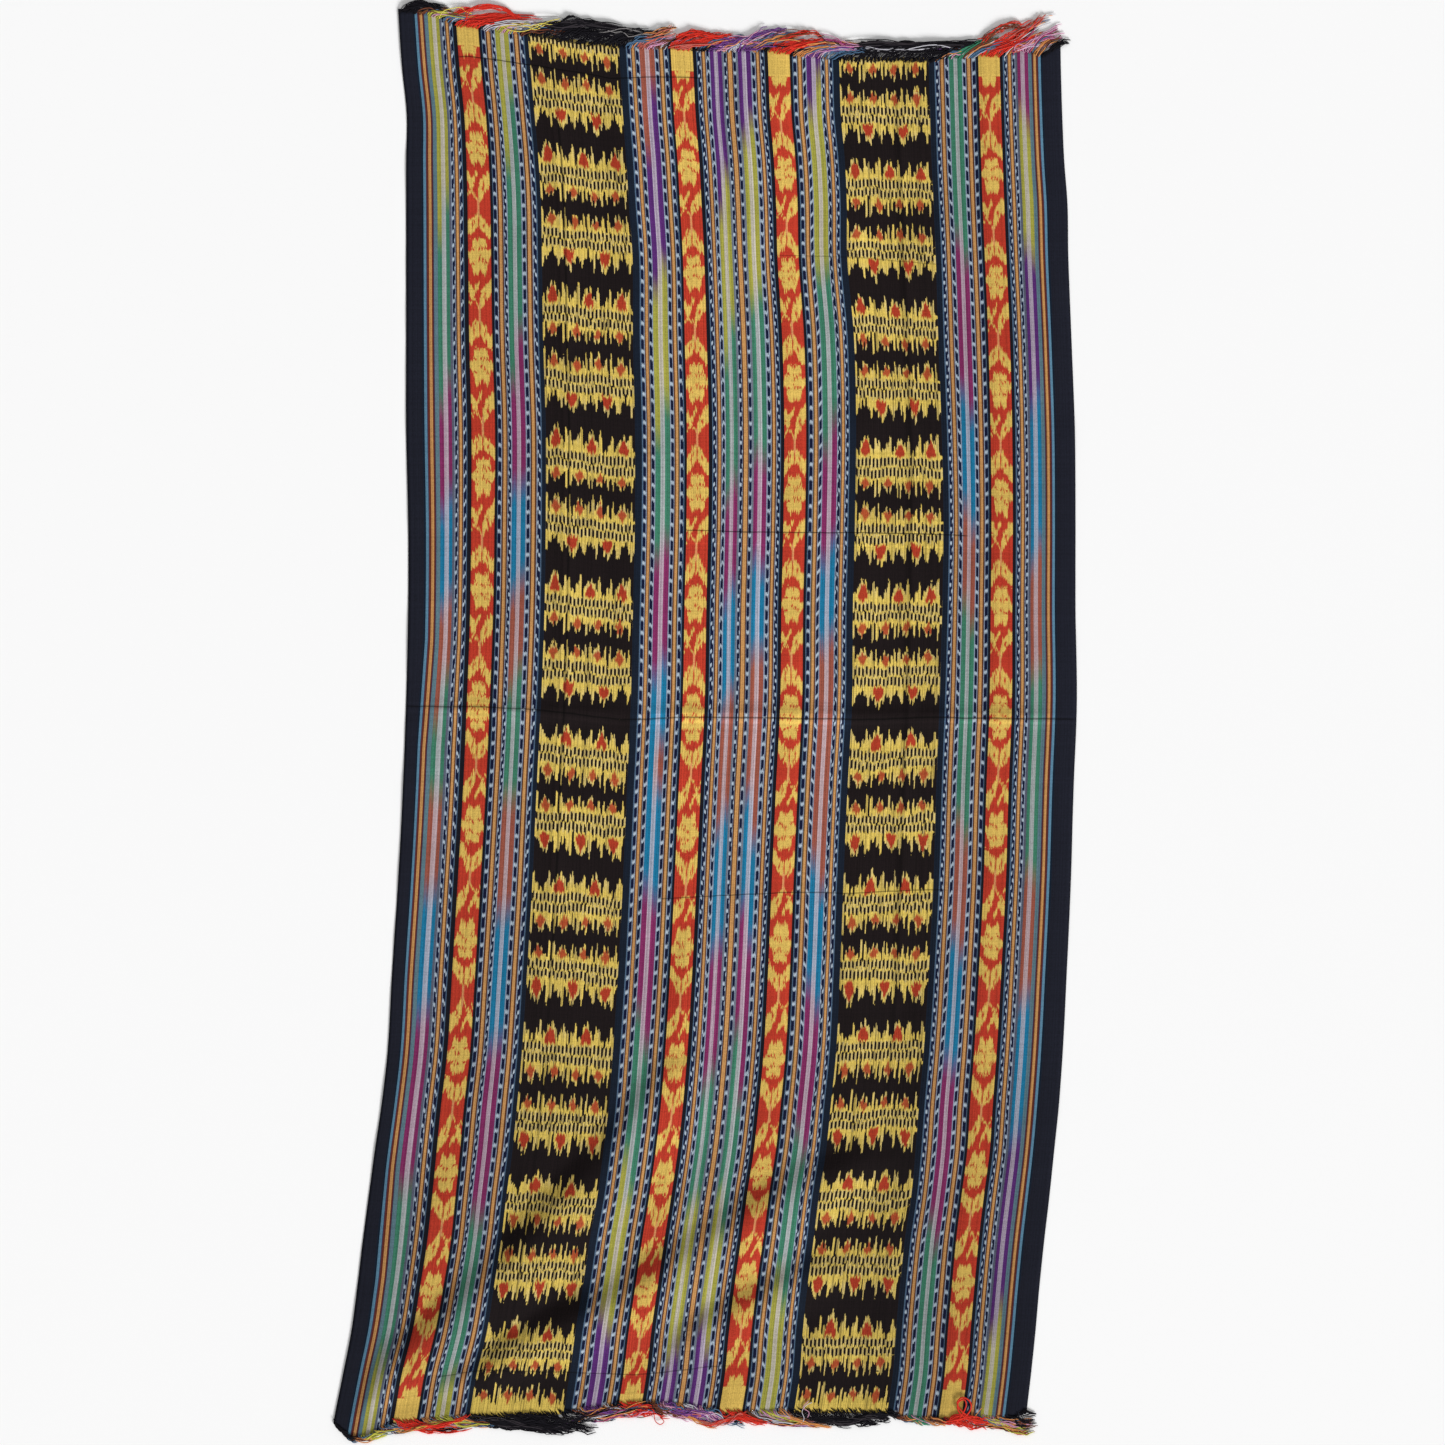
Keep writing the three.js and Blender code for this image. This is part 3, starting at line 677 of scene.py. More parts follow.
class Num:
    """A number in a node tree. Arithmetic on it adds Math nodes."""

    def __init__(self, tree, socket):
        self.tree = tree
        self.socket = socket

    def math(self, operation, *others, clamp=False):
        node = self.tree.nodes.new("ShaderNodeMath")
        node.operation = operation
        node.use_clamp = clamp
        for value, target in zip((self, *others), node.inputs):
            plug(self.tree, value, target)
        return Num(self.tree, node.outputs[0])

    def __add__(self, other):
        return self.math("ADD", other)

    def __sub__(self, other):
        return self.math("SUBTRACT", other)

    def __mul__(self, other):
        return self.math("MULTIPLY", other)

    def __truediv__(self, other):
        return self.math("DIVIDE", other)

    def __abs__(self):
        return self.math("ABSOLUTE")

    def flipped(self, whole=1.0):
        """whole minus the number."""
        return self.math("MULTIPLY_ADD", -1.0, whole)

    def over(self, other, soft):
        """1 where the number is above other, 0 below, blended over soft."""
        return (self - other).math("MULTIPLY_ADD", 1 / soft, 0.5, clamp=True)

    def within(self, low, high, soft):
        nearest = (self - low).math("MINIMUM", (self - high).flipped(0.0))
        return nearest.math("MULTIPLY_ADD", 1 / soft, 0.5, clamp=True)

    def either(self, other):
        return self.math("MAXIMUM", other)

    def both(self, other):
        return self.math("MULTIPLY", other)

    def floor(self):
        return self.math("FLOOR")

    def wrap(self, repeat):
        return self.math("FLOORED_MODULO", repeat)

    def curve(self, points, x_span, y_span):
        """Straight lines through charted points."""
        x_low, x_high = x_span
        y_low, y_high = y_span
        part = (self - x_low) * (1 / (x_high - x_low))
        node = self.tree.nodes.new("ShaderNodeFloatCurve")
        line = node.mapping.curves[0]
        while len(line.points) < len(points):
            line.points.new(0.5, 0.5)
        for point, (px, py) in zip(line.points, points):
            point.location = ((px - x_low) / (x_high - x_low), (py - y_low) / (y_high - y_low))
            point.handle_type = "VECTOR"
        node.mapping.update()
        self.tree.links.new(part.socket, node.inputs["Value"])
        return Num(self.tree, node.outputs[0]).math("MULTIPLY_ADD", y_high - y_low, y_low)

    def scatter(self, other, seed):
        """A fixed random number from 0 to 1 for each pair of whole numbers."""
        join = self.tree.nodes.new("ShaderNodeCombineXYZ")
        for value, target in zip((self, other, seed), join.inputs):
            plug(self.tree, value, target)
        noise = self.tree.nodes.new("ShaderNodeTexWhiteNoise")
        self.tree.links.new(join.outputs[0], noise.inputs["Vector"])
        return Num(self.tree, noise.outputs["Value"])

    def ramp(self, stops, interpolation):
        """Colour ramp: stops are (place, colour with alpha). Gives its colour and alpha sockets."""
        node = self.tree.nodes.new("ShaderNodeValToRGB")
        node.color_ramp.interpolation = interpolation
        elements = node.color_ramp.elements
        while len(elements) < len(stops):
            elements.new(1.0)
        for element, (place, color) in zip(elements, stops):
            element.position = place
            element.color = color
        self.tree.links.new(self.socket, node.inputs[0])
        return node.outputs["Color"], Num(self.tree, node.outputs["Alpha"])


def highest(numbers):
    """The highest of several numbers of one tree."""
    top = numbers[0]
    for number in numbers[1:]:
        top = top.either(number)
    return top


def mix(tree, share, first, second):
    """Colour between first and second, each a socket or a colour."""
    node = tree.nodes.new("ShaderNodeMix")
    node.data_type = "RGBA"
    for place, value in ((0, share), (6, first), (7, second)):
        plug(tree, value, node.inputs[place])
    return node.outputs[2]


def shade(tree, color, factor):
    """The colour times a number."""
    node = tree.nodes.new("ShaderNodeVectorMath")
    node.operation = "SCALE"
    plug(tree, color, node.inputs[0])
    plug(tree, factor, node.inputs["Scale"])
    return node.outputs[0]


def stripe_stops(stripes):
    total = sum(width for _, width in stripes)
    stops = []
    place = 0.0
    for name, width in stripes:
        color = linear(YARN.get(name, YARN["edge"]))[:3]
        stops.append((place / total, (*color, CODES.get(name, 0.0))))
        place += width
    return stops


def dye_stops(dyes, column):
    """Ramp stops of one line: a flat stretch of each dye, blended where they meet."""
    line = [(dye[0], dye[column] / 1000) for dye in dyes if dye[column] is not None]
    stops = []
    start = 0.0
    for i, (name, end) in enumerate(line):
        color = linear(DYE[name])
        first = 0.0 if i == 0 else start + DYE_BLEND
        last = 1.0 if i == len(line) - 1 else end - DYE_BLEND
        stops.append((first, color))
        stops.append((max(last, first), color))
        start = end
    return stops


class Weave:
    """The woven coordinates in a node tree, and the numbers that several parts of the cloth share."""

    def __init__(self, tree):
        self.tree = tree
        self.coordinates = tree.nodes.new("ShaderNodeUVMap")
        self.coordinates.uv_map = "weave"
        split = tree.nodes.new("ShaderNodeSeparateXYZ")
        tree.links.new(self.coordinates.outputs[0], split.inputs[0])
        self.u = Num(tree, split.outputs[0])
        self.v = Num(tree, split.outputs[1])
        self.side = abs(self.u)
        self.far = abs(self.v)
        self.level = self.far * (1 / PX)
        self.left = self.u.math("LESS_THAN", 0.0)
        self.lower = self.v.math("LESS_THAN", 0.0)
        self.thread = (self.u * (1 / THREAD)).floor()
        self.thread_luck = self.thread.scatter(0.5, SEEDS["thread"])
        self.thread_step = self.thread_luck.math("MULTIPLY_ADD", 2.0, -1.0)
        self.weft = (self.v * (1 / WEFT)).floor()
        self.crossing = self.thread.scatter(self.weft, SEEDS["crossing"])
        # Ikat figures wander slowly along the cloth.
        self.drift = self.noise(DRIFT_SCALE, 2.0) - 0.5

    def noise(self, scale, detail):
        node = self.tree.nodes.new("ShaderNodeTexNoise")
        node.inputs["Scale"].default_value = scale
        node.inputs["Detail"].default_value = detail
        self.tree.links.new(self.coordinates.outputs[0], node.inputs["Vector"])
        return Num(self.tree, node.outputs["Fac"])

    def mix(self, share, first, second):
        return mix(self.tree, share, first, second)


def narrow_figures(x, level):
    """Share of yellow in the narrow bands, by x and by rows from the middle of the cloth."""
    span = (0, NARROW_UNITS)
    rows = (0, OFF)
    t = level.flipped(NARROW_START).wrap(NARROW_REPEAT)
    soft = 2.0
    pairs = (
        (FLOWER_FROM, FLOWER_TO),
        (RIGHT_LEAF_FROM, RIGHT_LEAF_TO),
        (LEFT_LEAF_FROM, LEFT_LEAF_TO),
        (BRANCH_FROM, BRANCH_TO),
        (HEART_FROM, HEART_TO),
    )
    yellow = highest([
        t.within(x.curve(first, span, rows) + BLEED, x.curve(last, span, rows) - BLEED, soft)
        for first, last in pairs
    ])
    for place, row_place, half_width, half_height in FLECKS:
        reach = abs(x - place) * (1 / half_width)
        reach = reach + abs(t - row_place) * (1 / half_height)
        yellow = yellow.both(reach.over(0.95, 0.7))
    place, row_place, half_width, half_height = STEM
    stem = abs(x - place).flipped(half_width).over(0.0, 0.6)
    stem = stem.both(t.within(row_place - half_height, row_place + half_height, soft))
    return yellow, stem


def dash_rows(t, turn):
    """Dashes on every second bundle, and the threads between them that bleach to cream."""
    dashes, cream = [], []
    for middle, on_odd in DASH_ROWS:
        tall = abs(t - middle).flipped(DASH_HALF).over(0.0, 0.6)
        across = abs(turn - (0.75 if on_odd else 0.25))
        cream.append(tall)
        dashes.append(tall.both(across.flipped(DASH_WIDE).over(0.0, 0.06)))
    return highest(dashes), highest(cream)


def wide_figures(x, x_dash, level, luck, lower):
    """Shares of yellow, red and cream in the wide bands, by x and by rows from the middle."""
    span = (0, WIDE_UNITS)
    rows = (-WIDE_BEFORE, FAR)
    from_start = level.flipped(WIDE_START) + WIDE_BEFORE
    t = from_start.wrap(WIDE_REPEAT) - WIDE_BEFORE
    soft = 1.0

    def chart(points):
        return x.curve(points, span, rows)

    turn = (x_dash * (1 / DASH_BUNDLE)).wrap(1.0)
    # The bars end further in on every second bundle, which parts their tips into spikes.
    count = (from_start * (1 / WIDE_REPEAT)).floor()
    bundle = (x_dash * (1 / DASH_BUNDLE)).floor()
    depth = bundle.scatter(count, SEEDS["spike"]) * SPIKE_MORE + SPIKE_LEAST
    notch = turn.over(0.5, 0.12) * depth - 0.3
    yellow = t.within(chart(BAR_A_FROM) + notch, chart(BAR_A_TO) - notch, soft)
    yellow = yellow.either(t.within(chart(BAR_B_FROM) + notch, chart(BAR_B_TO) - notch, soft))
    red = t.within(chart(DROPS_A_FROM), chart(DROPS_A_TO), 2.2)
    red = red.either(t.within(chart(DROPS_B_FROM), chart(DROPS_B_TO), 2.2))
    for points, middle in ((DIAMONDS_A, DIAMONDS_A_ROW), (DIAMONDS_B, DIAMONDS_B_ROW)):
        half = chart(points)
        red = red.either((half - abs(t - middle)).over(0.8, 2.4) * 0.92)
    dashes, cream = dash_rows(t, turn)
    before_end = level.over(LAST_DASHES, 1.0).both(lower).flipped(1.0)
    dashes = dashes.both(before_end)
    cream = cream.both(before_end)
    yellow = yellow.both(dashes.flipped(1.0))
    spikes = t.within(14.0, 48.0, 8.0).either(t.within(80.0, 114.0, 8.0)).flipped(1.0)
    cream = (cream * 0.5).either(spikes.both(luck) * 0.5)
    return yellow, red.both(yellow), cream


def plain_stripes(weave):
    """Colour of the plain stripes, and the code of the threads that need more than that."""
    bounds = (0.0, *INNER_BAND, *WIDE_BAND, *OUTER_BAND, HALF_WIDTH)
    groups = []
    for stripes, start, stop in zip((GROUP_1, GROUP_2, GROUP_3, GROUP_4), bounds[::2], bounds[1::2]):
        part = (weave.side - start) * (1 / (stop - start))
        groups.append(part.ramp(stripe_stops(stripes), "CONSTANT"))
    color, code = groups[0]
    for (group_color, group_code), edge in zip(groups[1:], bounds[1::2]):
        here = weave.side.math("GREATER_THAN", edge)
        color = weave.mix(here, color, group_color)
        code = code + (group_code - code) * here
    return color, code


def coded(code, name):
    return code.math("COMPARE", CODES[name], 0.05)


def with_dashes(weave, color, code):
    """Adds the dashed lines, and the pale edges beside their white gaps."""
    line = (weave.side * (1 / DASH_LINE)).floor()
    luck = (line + weave.left * DASH_APART).scatter(0.5, SEEDS["dash line"])
    slant = luck.scatter(line, SEEDS["dash slant"]).math("MULTIPLY_ADD", DASH_SLANT, -DASH_SLANT / 2)
    shift = luck * DASH_SHIFTS[0] + weave.thread_step * DASH_SHIFTS[1] + weave.u * slant
    phase = ((weave.far + shift) * (1 / DASH_PITCH)).wrap(1.0)
    white = phase.within(DASH_SHARE, 1.0, 0.12)
    dash = weave.mix(white, linear(DASH_NAVY), linear(DASH_WHITE))
    color = weave.mix(coded(code, "dash"), color, dash)
    return weave.mix(coded(code, "edge").both(white) * 0.4, color, linear(DASH_WHITE))


def with_dyed_lines(weave, color, code):
    """Adds the space-dyed lines and the pale ones between them."""
    place = weave.v * (-0.5 / PATTERN_HALF) + 0.5 + weave.thread_step * DYE_JITTER
    outer_line = coded(code, "dye_out")
    pairs = []
    for dyes in DYES:
        inner_color, outer_color = (place.ramp(dye_stops(dyes, k), "LINEAR")[0] for k in (1, 2))
        pairs.append(weave.mix(outer_line, inner_color, outer_color))
    dye = pairs[0]
    for pair, edge in zip(pairs[1:], DYE_EDGES):
        dye = weave.mix(weave.u.math("GREATER_THAN", float(edge)), dye, pair)
    pale = weave.mix(weave.thread_luck * 0.16 + 0.5, dye, linear(PALE))
    color = weave.mix(coded(code, "dye_in").either(outer_line), color, dye)
    return weave.mix(coded(code, "pale"), color, pale)


def narrow_bands(weave):
    """Colour of the narrow ikat bands, flowers and leaves on red."""
    inner_width, outer_width = INNER_BAND[1] - INNER_BAND[0], OUTER_BAND[1] - OUTER_BAND[0]
    outer = weave.side.math("GREATER_THAN", BAND_PARTING)
    start_right = outer * (OUTER_BAND[0] - INNER_BAND[0]) + INNER_BAND[0]
    start_left = outer * (OUTER_BAND[1] - INNER_BAND[1]) + INNER_BAND[1]
    start = start_right - (start_right + start_left) * weave.left
    width = outer * (outer_width - inner_width) + inner_width
    x = (weave.u - start) / width * float(NARROW_UNITS)
    x = x + (x.flipped(float(NARROW_UNITS)) - x) * weave.lower
    bundle = x.floor()
    repeat = ((weave.level - NARROW_START) * (2 / NARROW_REPEAT)).floor()
    wander = ((bundle + start).scatter(repeat, SEEDS["flower"]) - 0.5) * NARROW_WANDER
    level = weave.level + wander + weave.thread_step * NARROW_STEP + weave.drift * NARROW_DRIFT
    yellow, stem = narrow_figures(bundle + 0.5, level)
    yellow = yellow.either(weave.level.over(NARROW_END, 1.0))
    return weave.mix(stem, weave.mix(yellow, linear(RED), linear(YELLOW)), linear(PEACH))


def wide_bands(weave):
    """Colour of the wide ikat bands, spiked yellow bars on black."""
    units_to_mm = WIDE_UNITS / (WIDE_BAND[1] - WIDE_BAND[0])
    x = (weave.u - WIDE_BAND[0] + weave.left * (WIDE_BAND[0] + WIDE_BAND[1])) * units_to_mm
    pitch = WIDE_UNITS / WIDE_COLUMNS
    column = (x * (1 / pitch)).floor()
    pair = (x * (2 / DASH_BUNDLE)).floor()
    repeat = ((weave.level - WIDE_START + WIDE_REPEAT) * (2 / WIDE_REPEAT)).floor()
    apart = weave.left * APART_LEFT + weave.lower * APART_LOWER
    luck = (column + apart).scatter(repeat, SEEDS["column"])
    pair_luck = (pair + apart).scatter(repeat, SEEDS["pair"])
    wander = luck * COLUMN_WANDER + pair_luck * PAIR_WANDER - (COLUMN_WANDER + PAIR_WANDER) / 2
    level = weave.level + wander + weave.thread_step * WIDE_STEP + weave.drift * WIDE_DRIFT
    yellow, red, cream = wide_figures((column + 0.5) * pitch, x, level, pair_luck, weave.lower)
    gold = weave.mix(cream, linear(WIDE_YELLOW), linear(CREAM))
    stray = weave.thread.scatter(repeat, SEEDS["stray"]).over(0.8, 0.06) * 0.5
    gold = weave.mix(stray, gold, linear(WIDE_INK))
    return weave.mix(red, weave.mix(yellow, linear(WIDE_INK), gold), linear(WIDE_RED))


def with_painted_shading_line(factor, line, half, along, darker):
    """Brightness with thin painted shade where line is near nought, as far as along lets it run."""
    painted_line = abs(line).flipped(half).over(0.0, half)
    # Where darker is below nought, the line is painted highlight instead of painted shade.
    return factor * (painted_line.both(along) * -darker + 1.0)


def wear_and_painted_shading(weave):
    """Brightness: uneven threads and wefts, slow fading, and painted shade and highlight on folds."""
    factor = weave.thread_luck * THREAD_LIGHT + weave.weft.scatter(0.5, SEEDS["weft"]) * WEFT_LIGHT
    factor = factor + weave.crossing * CROSSING_LIGHT + DARKEST
    factor = factor * (weave.noise(FADING_SCALE, 3.0) * FADING + (1 - FADING / 2))
    # The outer parts and the lower end are darker than the middle.
    factor = factor * (weave.side.over(245.0, 150.0) * -OUTER_DARK + 1.02)
    factor = factor * (weave.v.flipped(0.0).over(500.0, 700.0) * -LOWER_DARK + 1.0)
    # Painted shade and painted highlight along the creases across the cloth.
    for u0, u1, v0, v1, half, darker in PAINTED_WEFT_SHADING:
        line = weave.v - v0 - (weave.u - u0) * ((v1 - v0) / (u1 - u0)) + weave.drift * 5.0
        factor = with_painted_shading_line(factor, line, half, weave.u.within(float(u0), float(u1), 8.0), darker)
    # Painted shade and painted highlight along the lengthwise creases.
    for u0, v0, v1, half, darker in PAINTED_WARP_SHADING:
        line = weave.u - u0 + weave.drift * 4.0
        factor = with_painted_shading_line(factor, line, half, weave.v.within(float(v0), float(v1), 60.0), darker)
    return factor


def node_material(name, roughness):
    """A material with its node tree and its shader."""
    material = bpy.data.materials.new(name)
    material.use_nodes = True
    shader = material.node_tree.nodes["Principled BSDF"]
    shader.inputs["Roughness"].default_value = roughness
    return material, material.node_tree, shader


def cotton_material():
    material, tree, shader = node_material("warp_ikat_cotton", 0.85)
    weave = Weave(tree)
    color, code = plain_stripes(weave)
    color = with_dashes(weave, color, code)
    color = with_dyed_lines(weave, color, code)
    in_wide = weave.side.within(*WIDE_BAND, BAND_EDGE)
    in_narrow = weave.side.within(*INNER_BAND, BAND_EDGE)
    in_narrow = in_narrow.either(weave.side.within(*OUTER_BAND, BAND_EDGE))
    color = weave.mix(in_wide, color, wide_bands(weave))
    color = weave.mix(in_narrow, color, narrow_bands(weave))
    tree.links.new(shade(tree, color, wear_and_painted_shading(weave)), shader.inputs["Base Color"])
    shader.inputs["Specular IOR Level"].default_value = COTTON_SHINE
    # Warp ribs, wefts and the unevenness of their crossings.
    rib = (weave.u * (2 * math.pi / THREAD)).math("SINE") * RIB
    cross = (weave.v * (2 * math.pi / WEFT)).math("SINE") * WEFT_RIB
    bump = tree.nodes.new("ShaderNodeBump")
    bump.inputs["Strength"].default_value = RELIEF
    bump.inputs["Distance"].default_value = RELIEF_DEPTH
    relief = rib + cross + weave.crossing * CROSSING_RIB
    tree.links.new(relief.socket, bump.inputs["Height"])
    tree.links.new(bump.outputs[0], shader.inputs["Normal"])
    return material


cloth.data.materials.append(cotton_material())


# How the cut warp ends lie: across, how far out and how far to the right a yarn runs, and how
# much it curls.
UPPER_YARNS = (
    (-500, 8, 44, 0.6), (-455, 11, 48, 0.3), (-408, 14, 60, 0.3), (-400, 26, 80, 0.4),
    (-372, 28, 82, 0.45), (-366, 12, 80, 0.3), (-335, 12, 84, 0.3), (-296, 16, 60, 0.8),
    (-230, 22, 66, 1.0), (-170, 18, 55, 0.8), (-120, 20, 36, 0.5), (-92, 16, 36, 0.5),
    (-74, 26, 52, 0.7), (-55, 18, 55, 0.6), (-20, 16, 50, 0.6), (12, 30, 62, 0.9),
    (50, 16, 60, 0.5), (75, 28, 66, 0.5), (110, 20, 90, 0.4), (165, 16, 70, 0.7),
    (240, 18, 60, 0.9), (290, 18, 60, 1.0), (325, 22, 60, 0.7), (368, 30, 60, 0.4),
    (385, 46, 66, 0.45), (420, 46, 50, 0.5), (450, 32, 34, 0.4), (466, 12, 24, 0.4),
    (500, 7, 8, 0.4),
)
LOWER_YARNS = (
    (-500, 4, 8, 0.4), (-450, 8, 24, 0.5), (-400, 12, 60, 0.4), (-372, 14, 80, 0.4),
    (-340, 6, 66, 0.4), (-300, 14, 60, 0.6), (-210, 30, 62, 0.7), (-175, 34, 62, 0.7),
    (-155, 14, 70, 0.8), (-110, 10, 60, 1.0), (-72, 17, 56, 0.9), (-20, 20, 46, 1.1),
    (30, 18, 44, 1.0), (74, 14, 40, 0.7), (92, 10, 56, 0.4), (130, 18, 60, 0.5),
    (175, 22, 60, 0.8), (225, 14, 50, 0.8), (300, 5, 16, 0.5), (350, 8, 24, 0.6),
    (388, 17, 38, 0.8), (420, 18, 56, 0.6), (455, 22, 52, 0.5), (480, 22, 30, 0.5),
    (500, 8, 8, 0.4),
)
YARN_PITCH = 1.6
YARN_STEPS = 13
YARN_SIDES = 4
# Radii of the thinnest and the thickest yarn, at the cut end and in the tangles, and the share of
# yarns that have the colour of their bunch.
YARN_RADII = (0.65, 1.1)
TANGLE_RADII = (0.6, 1.0)
BUNCH_SHARE = 0.6
# How thin a yarn's last point is, and how dark its darker tone, as shares of the rest.
YARN_TIP = 0.5
YARN_DARK = 0.75
# A yarn of the cut end walks outward and to the right. Ranges that its bunch and the yarn itself
# draw from: its length and what is added to it, the lean of its path, the heading it starts with in
# degrees, and the curl and length of its waves.
BUNCH_LENGTH, OWN_LENGTH, MORE_LENGTH = (0.75, 1.2), (0.85, 1.15), 6
BUNCH_LEAN, OWN_LEAN = (0.3, 1.3), (-0.2, 0.2)
BUNCH_HEADING, OWN_HEADING = (70, 100), (-8, 8)
BUNCH_WAVE, OWN_WAVE = ((0.5, 1.0), (12, 38)), ((0.3, 0.8), (9, 24))
# How far out it turns back, how deep inside the cloth it starts, its layer in the bunch, how high
# its root lies, and how quickly it turns to where it aims.
BUNCH_REACH, MORE_REACH = (0.8, 1.15), 2
ROOT_INSIDE = (2.0, 8.0)
YARN_LAYERS = (0.2, 1.0)
ROOT_HEIGHT = 2.2
STEERING = 0.42
# The stretch of the cloth's end that gives the slope beside a root, and how much of it is followed.
SLOPE_SPAN = 40
SLOPE_SHARE = 0.9
# Yarns of a tangle: where along it they start and stop, how much of its thickness they use, and
# the sizes and lengths of their waves.
TANGLE_START, TANGLE_STOP, TANGLE_REACH = (0, 0.3), (0.6, 1.0), (0.5, 1.0)
TANGLE_WAVES, TANGLE_LENGTHS = (0.75, 0.35), (0.5, 1.4)
# How wide a bunch that turns and curls alike is, how high the yarns that cross others lie, and the
# photo row above which a yarn belongs to the upper end. A full turn, rounded, and how high a yarn
# arches.
BUNCH = 9.0
YARN_BED = 2.8
YARN_ARCH = 3.0
TURN = 6.28
PHOTO_HALFWAY = 720

# Tangled bundles of yarns: their colours, how thick the bundle is (pixels), how many yarns, and
# photo pixels of their middle line. Their lightened black is painted highlight on black yarns.
MIXED = "purple pink blue white orange magenta black salmon"
TANGLES = (
    ("red", 3.5, 12, ((447, 22), (458, 12), (475, 8), (495, 8), (512, 14), (521, 18))),
    ("red red salmon", 3.5, 12, ((462, 24), (478, 23), (495, 21), (510, 18))),
    ("gold gold white grey_yarn", 4.0, 22, ((497, 22), (520, 27), (540, 26), (560, 20))),
    ("black black soot", 5.0, 38, ((530, 28), (555, 26), (580, 24), (610, 28), (650, 34))),
    ("black", 2.0, 6, ((535, 31), (560, 24), (570, 17), (582, 19))),
    ("black black grey_yarn", 5.0, 22, ((590, 34), (620, 32), (645, 34), (664, 36))),
    ("salmon brown orange black", 3.5, 12, ((634, 40), (650, 36), (668, 30), (678, 26))),
    ("red", 4.0, 16, ((673, 46), (682, 36), (700, 33), (720, 37), (735, 36))),
    ("red salmon", 3.0, 12, ((672, 48), (690, 46), (712, 43), (730, 41))),
    ("purple pink white blue", 3.5, 14, ((726, 44), (742, 41), (756, 36), (766, 28))),
    (MIXED, 3.5, 12, ((732, 40), (750, 42), (768, 36), (786, 34))),
    ("red red brown", 3.0, 14, ((772, 52), (778, 42), (795, 35), (812, 33), (826, 38))),
    ("red", 2.5, 10, ((780, 50), (795, 47), (812, 42), (828, 38))),
    ("pink magenta white black", 3.0, 12, ((815, 38), (835, 42), (850, 46), (866, 48))),
    ("black black soot", 4.0, 40, ((850, 46), (880, 44), (920, 46), (960, 44), (985, 42))),
    ("black black purple white", 3.0, 22, ((856, 50), (890, 49), (930, 48), (965, 47))),
    ("red red brown", 4.0, 14, ((975, 50), (985, 38), (1000, 29), (1014, 25), (1026, 27))),
    ("red salmon", 3.5, 14, ((990, 50), (1005, 42), (1020, 34), (1034, 24), (1044, 15))),
    ("magenta pink salmon", 3.0, 12, ((1010, 54), (1018, 48), (1028, 44), (1036, 34))),
    ("black", 2.5, 12, ((402, 12), (412, 4), (424, 3), (436, 9), (445, 12))),
    ("red", 2.5, 18, ((398, 1421), (412, 1426), (434, 1426), (455, 1421), (470, 1414))),
    ("black brown orange lime", 2.5, 12, ((380, 1427), (400, 1431), (430, 1424), (452, 1420))),
    ("black black soot", 4.5, 44, ((470, 1416), (500, 1422), (535, 1428), (560, 1430), (574, 1432))),
    ("black", 5.0, 20, ((520, 1415), (545, 1418), (565, 1426))),
    ("black black purple orange", 2.5, 12, ((565, 1424), (590, 1414), (610, 1408), (640, 1402))),
    (MIXED, 4.0, 26, ((590, 1420), (615, 1414), (640, 1410), (668, 1408))),
    ("red red pink", 3.0, 12, ((618, 1416), (640, 1413), (660, 1411))),
    ("pink purple white salmon", 3.5, 20, ((668, 1410), (690, 1412), (712, 1414))),
    ("red salmon pink", 3.0, 16, ((692, 1420), (712, 1424), (735, 1417), (748, 1412))),
    (MIXED, 3.0, 22, ((748, 1416), (775, 1422), (800, 1424), (820, 1424))),
    ("black black soot", 3.5, 36, ((815, 1418), (845, 1422), (870, 1416), (888, 1416))),
    ("red", 3.5, 22, ((945, 1420), (960, 1417), (978, 1419), (990, 1422))),
    ("orange lime black salmon", 3.0, 20, ((985, 1424), (1005, 1428), (1022, 1432), (1036, 1432))),
)

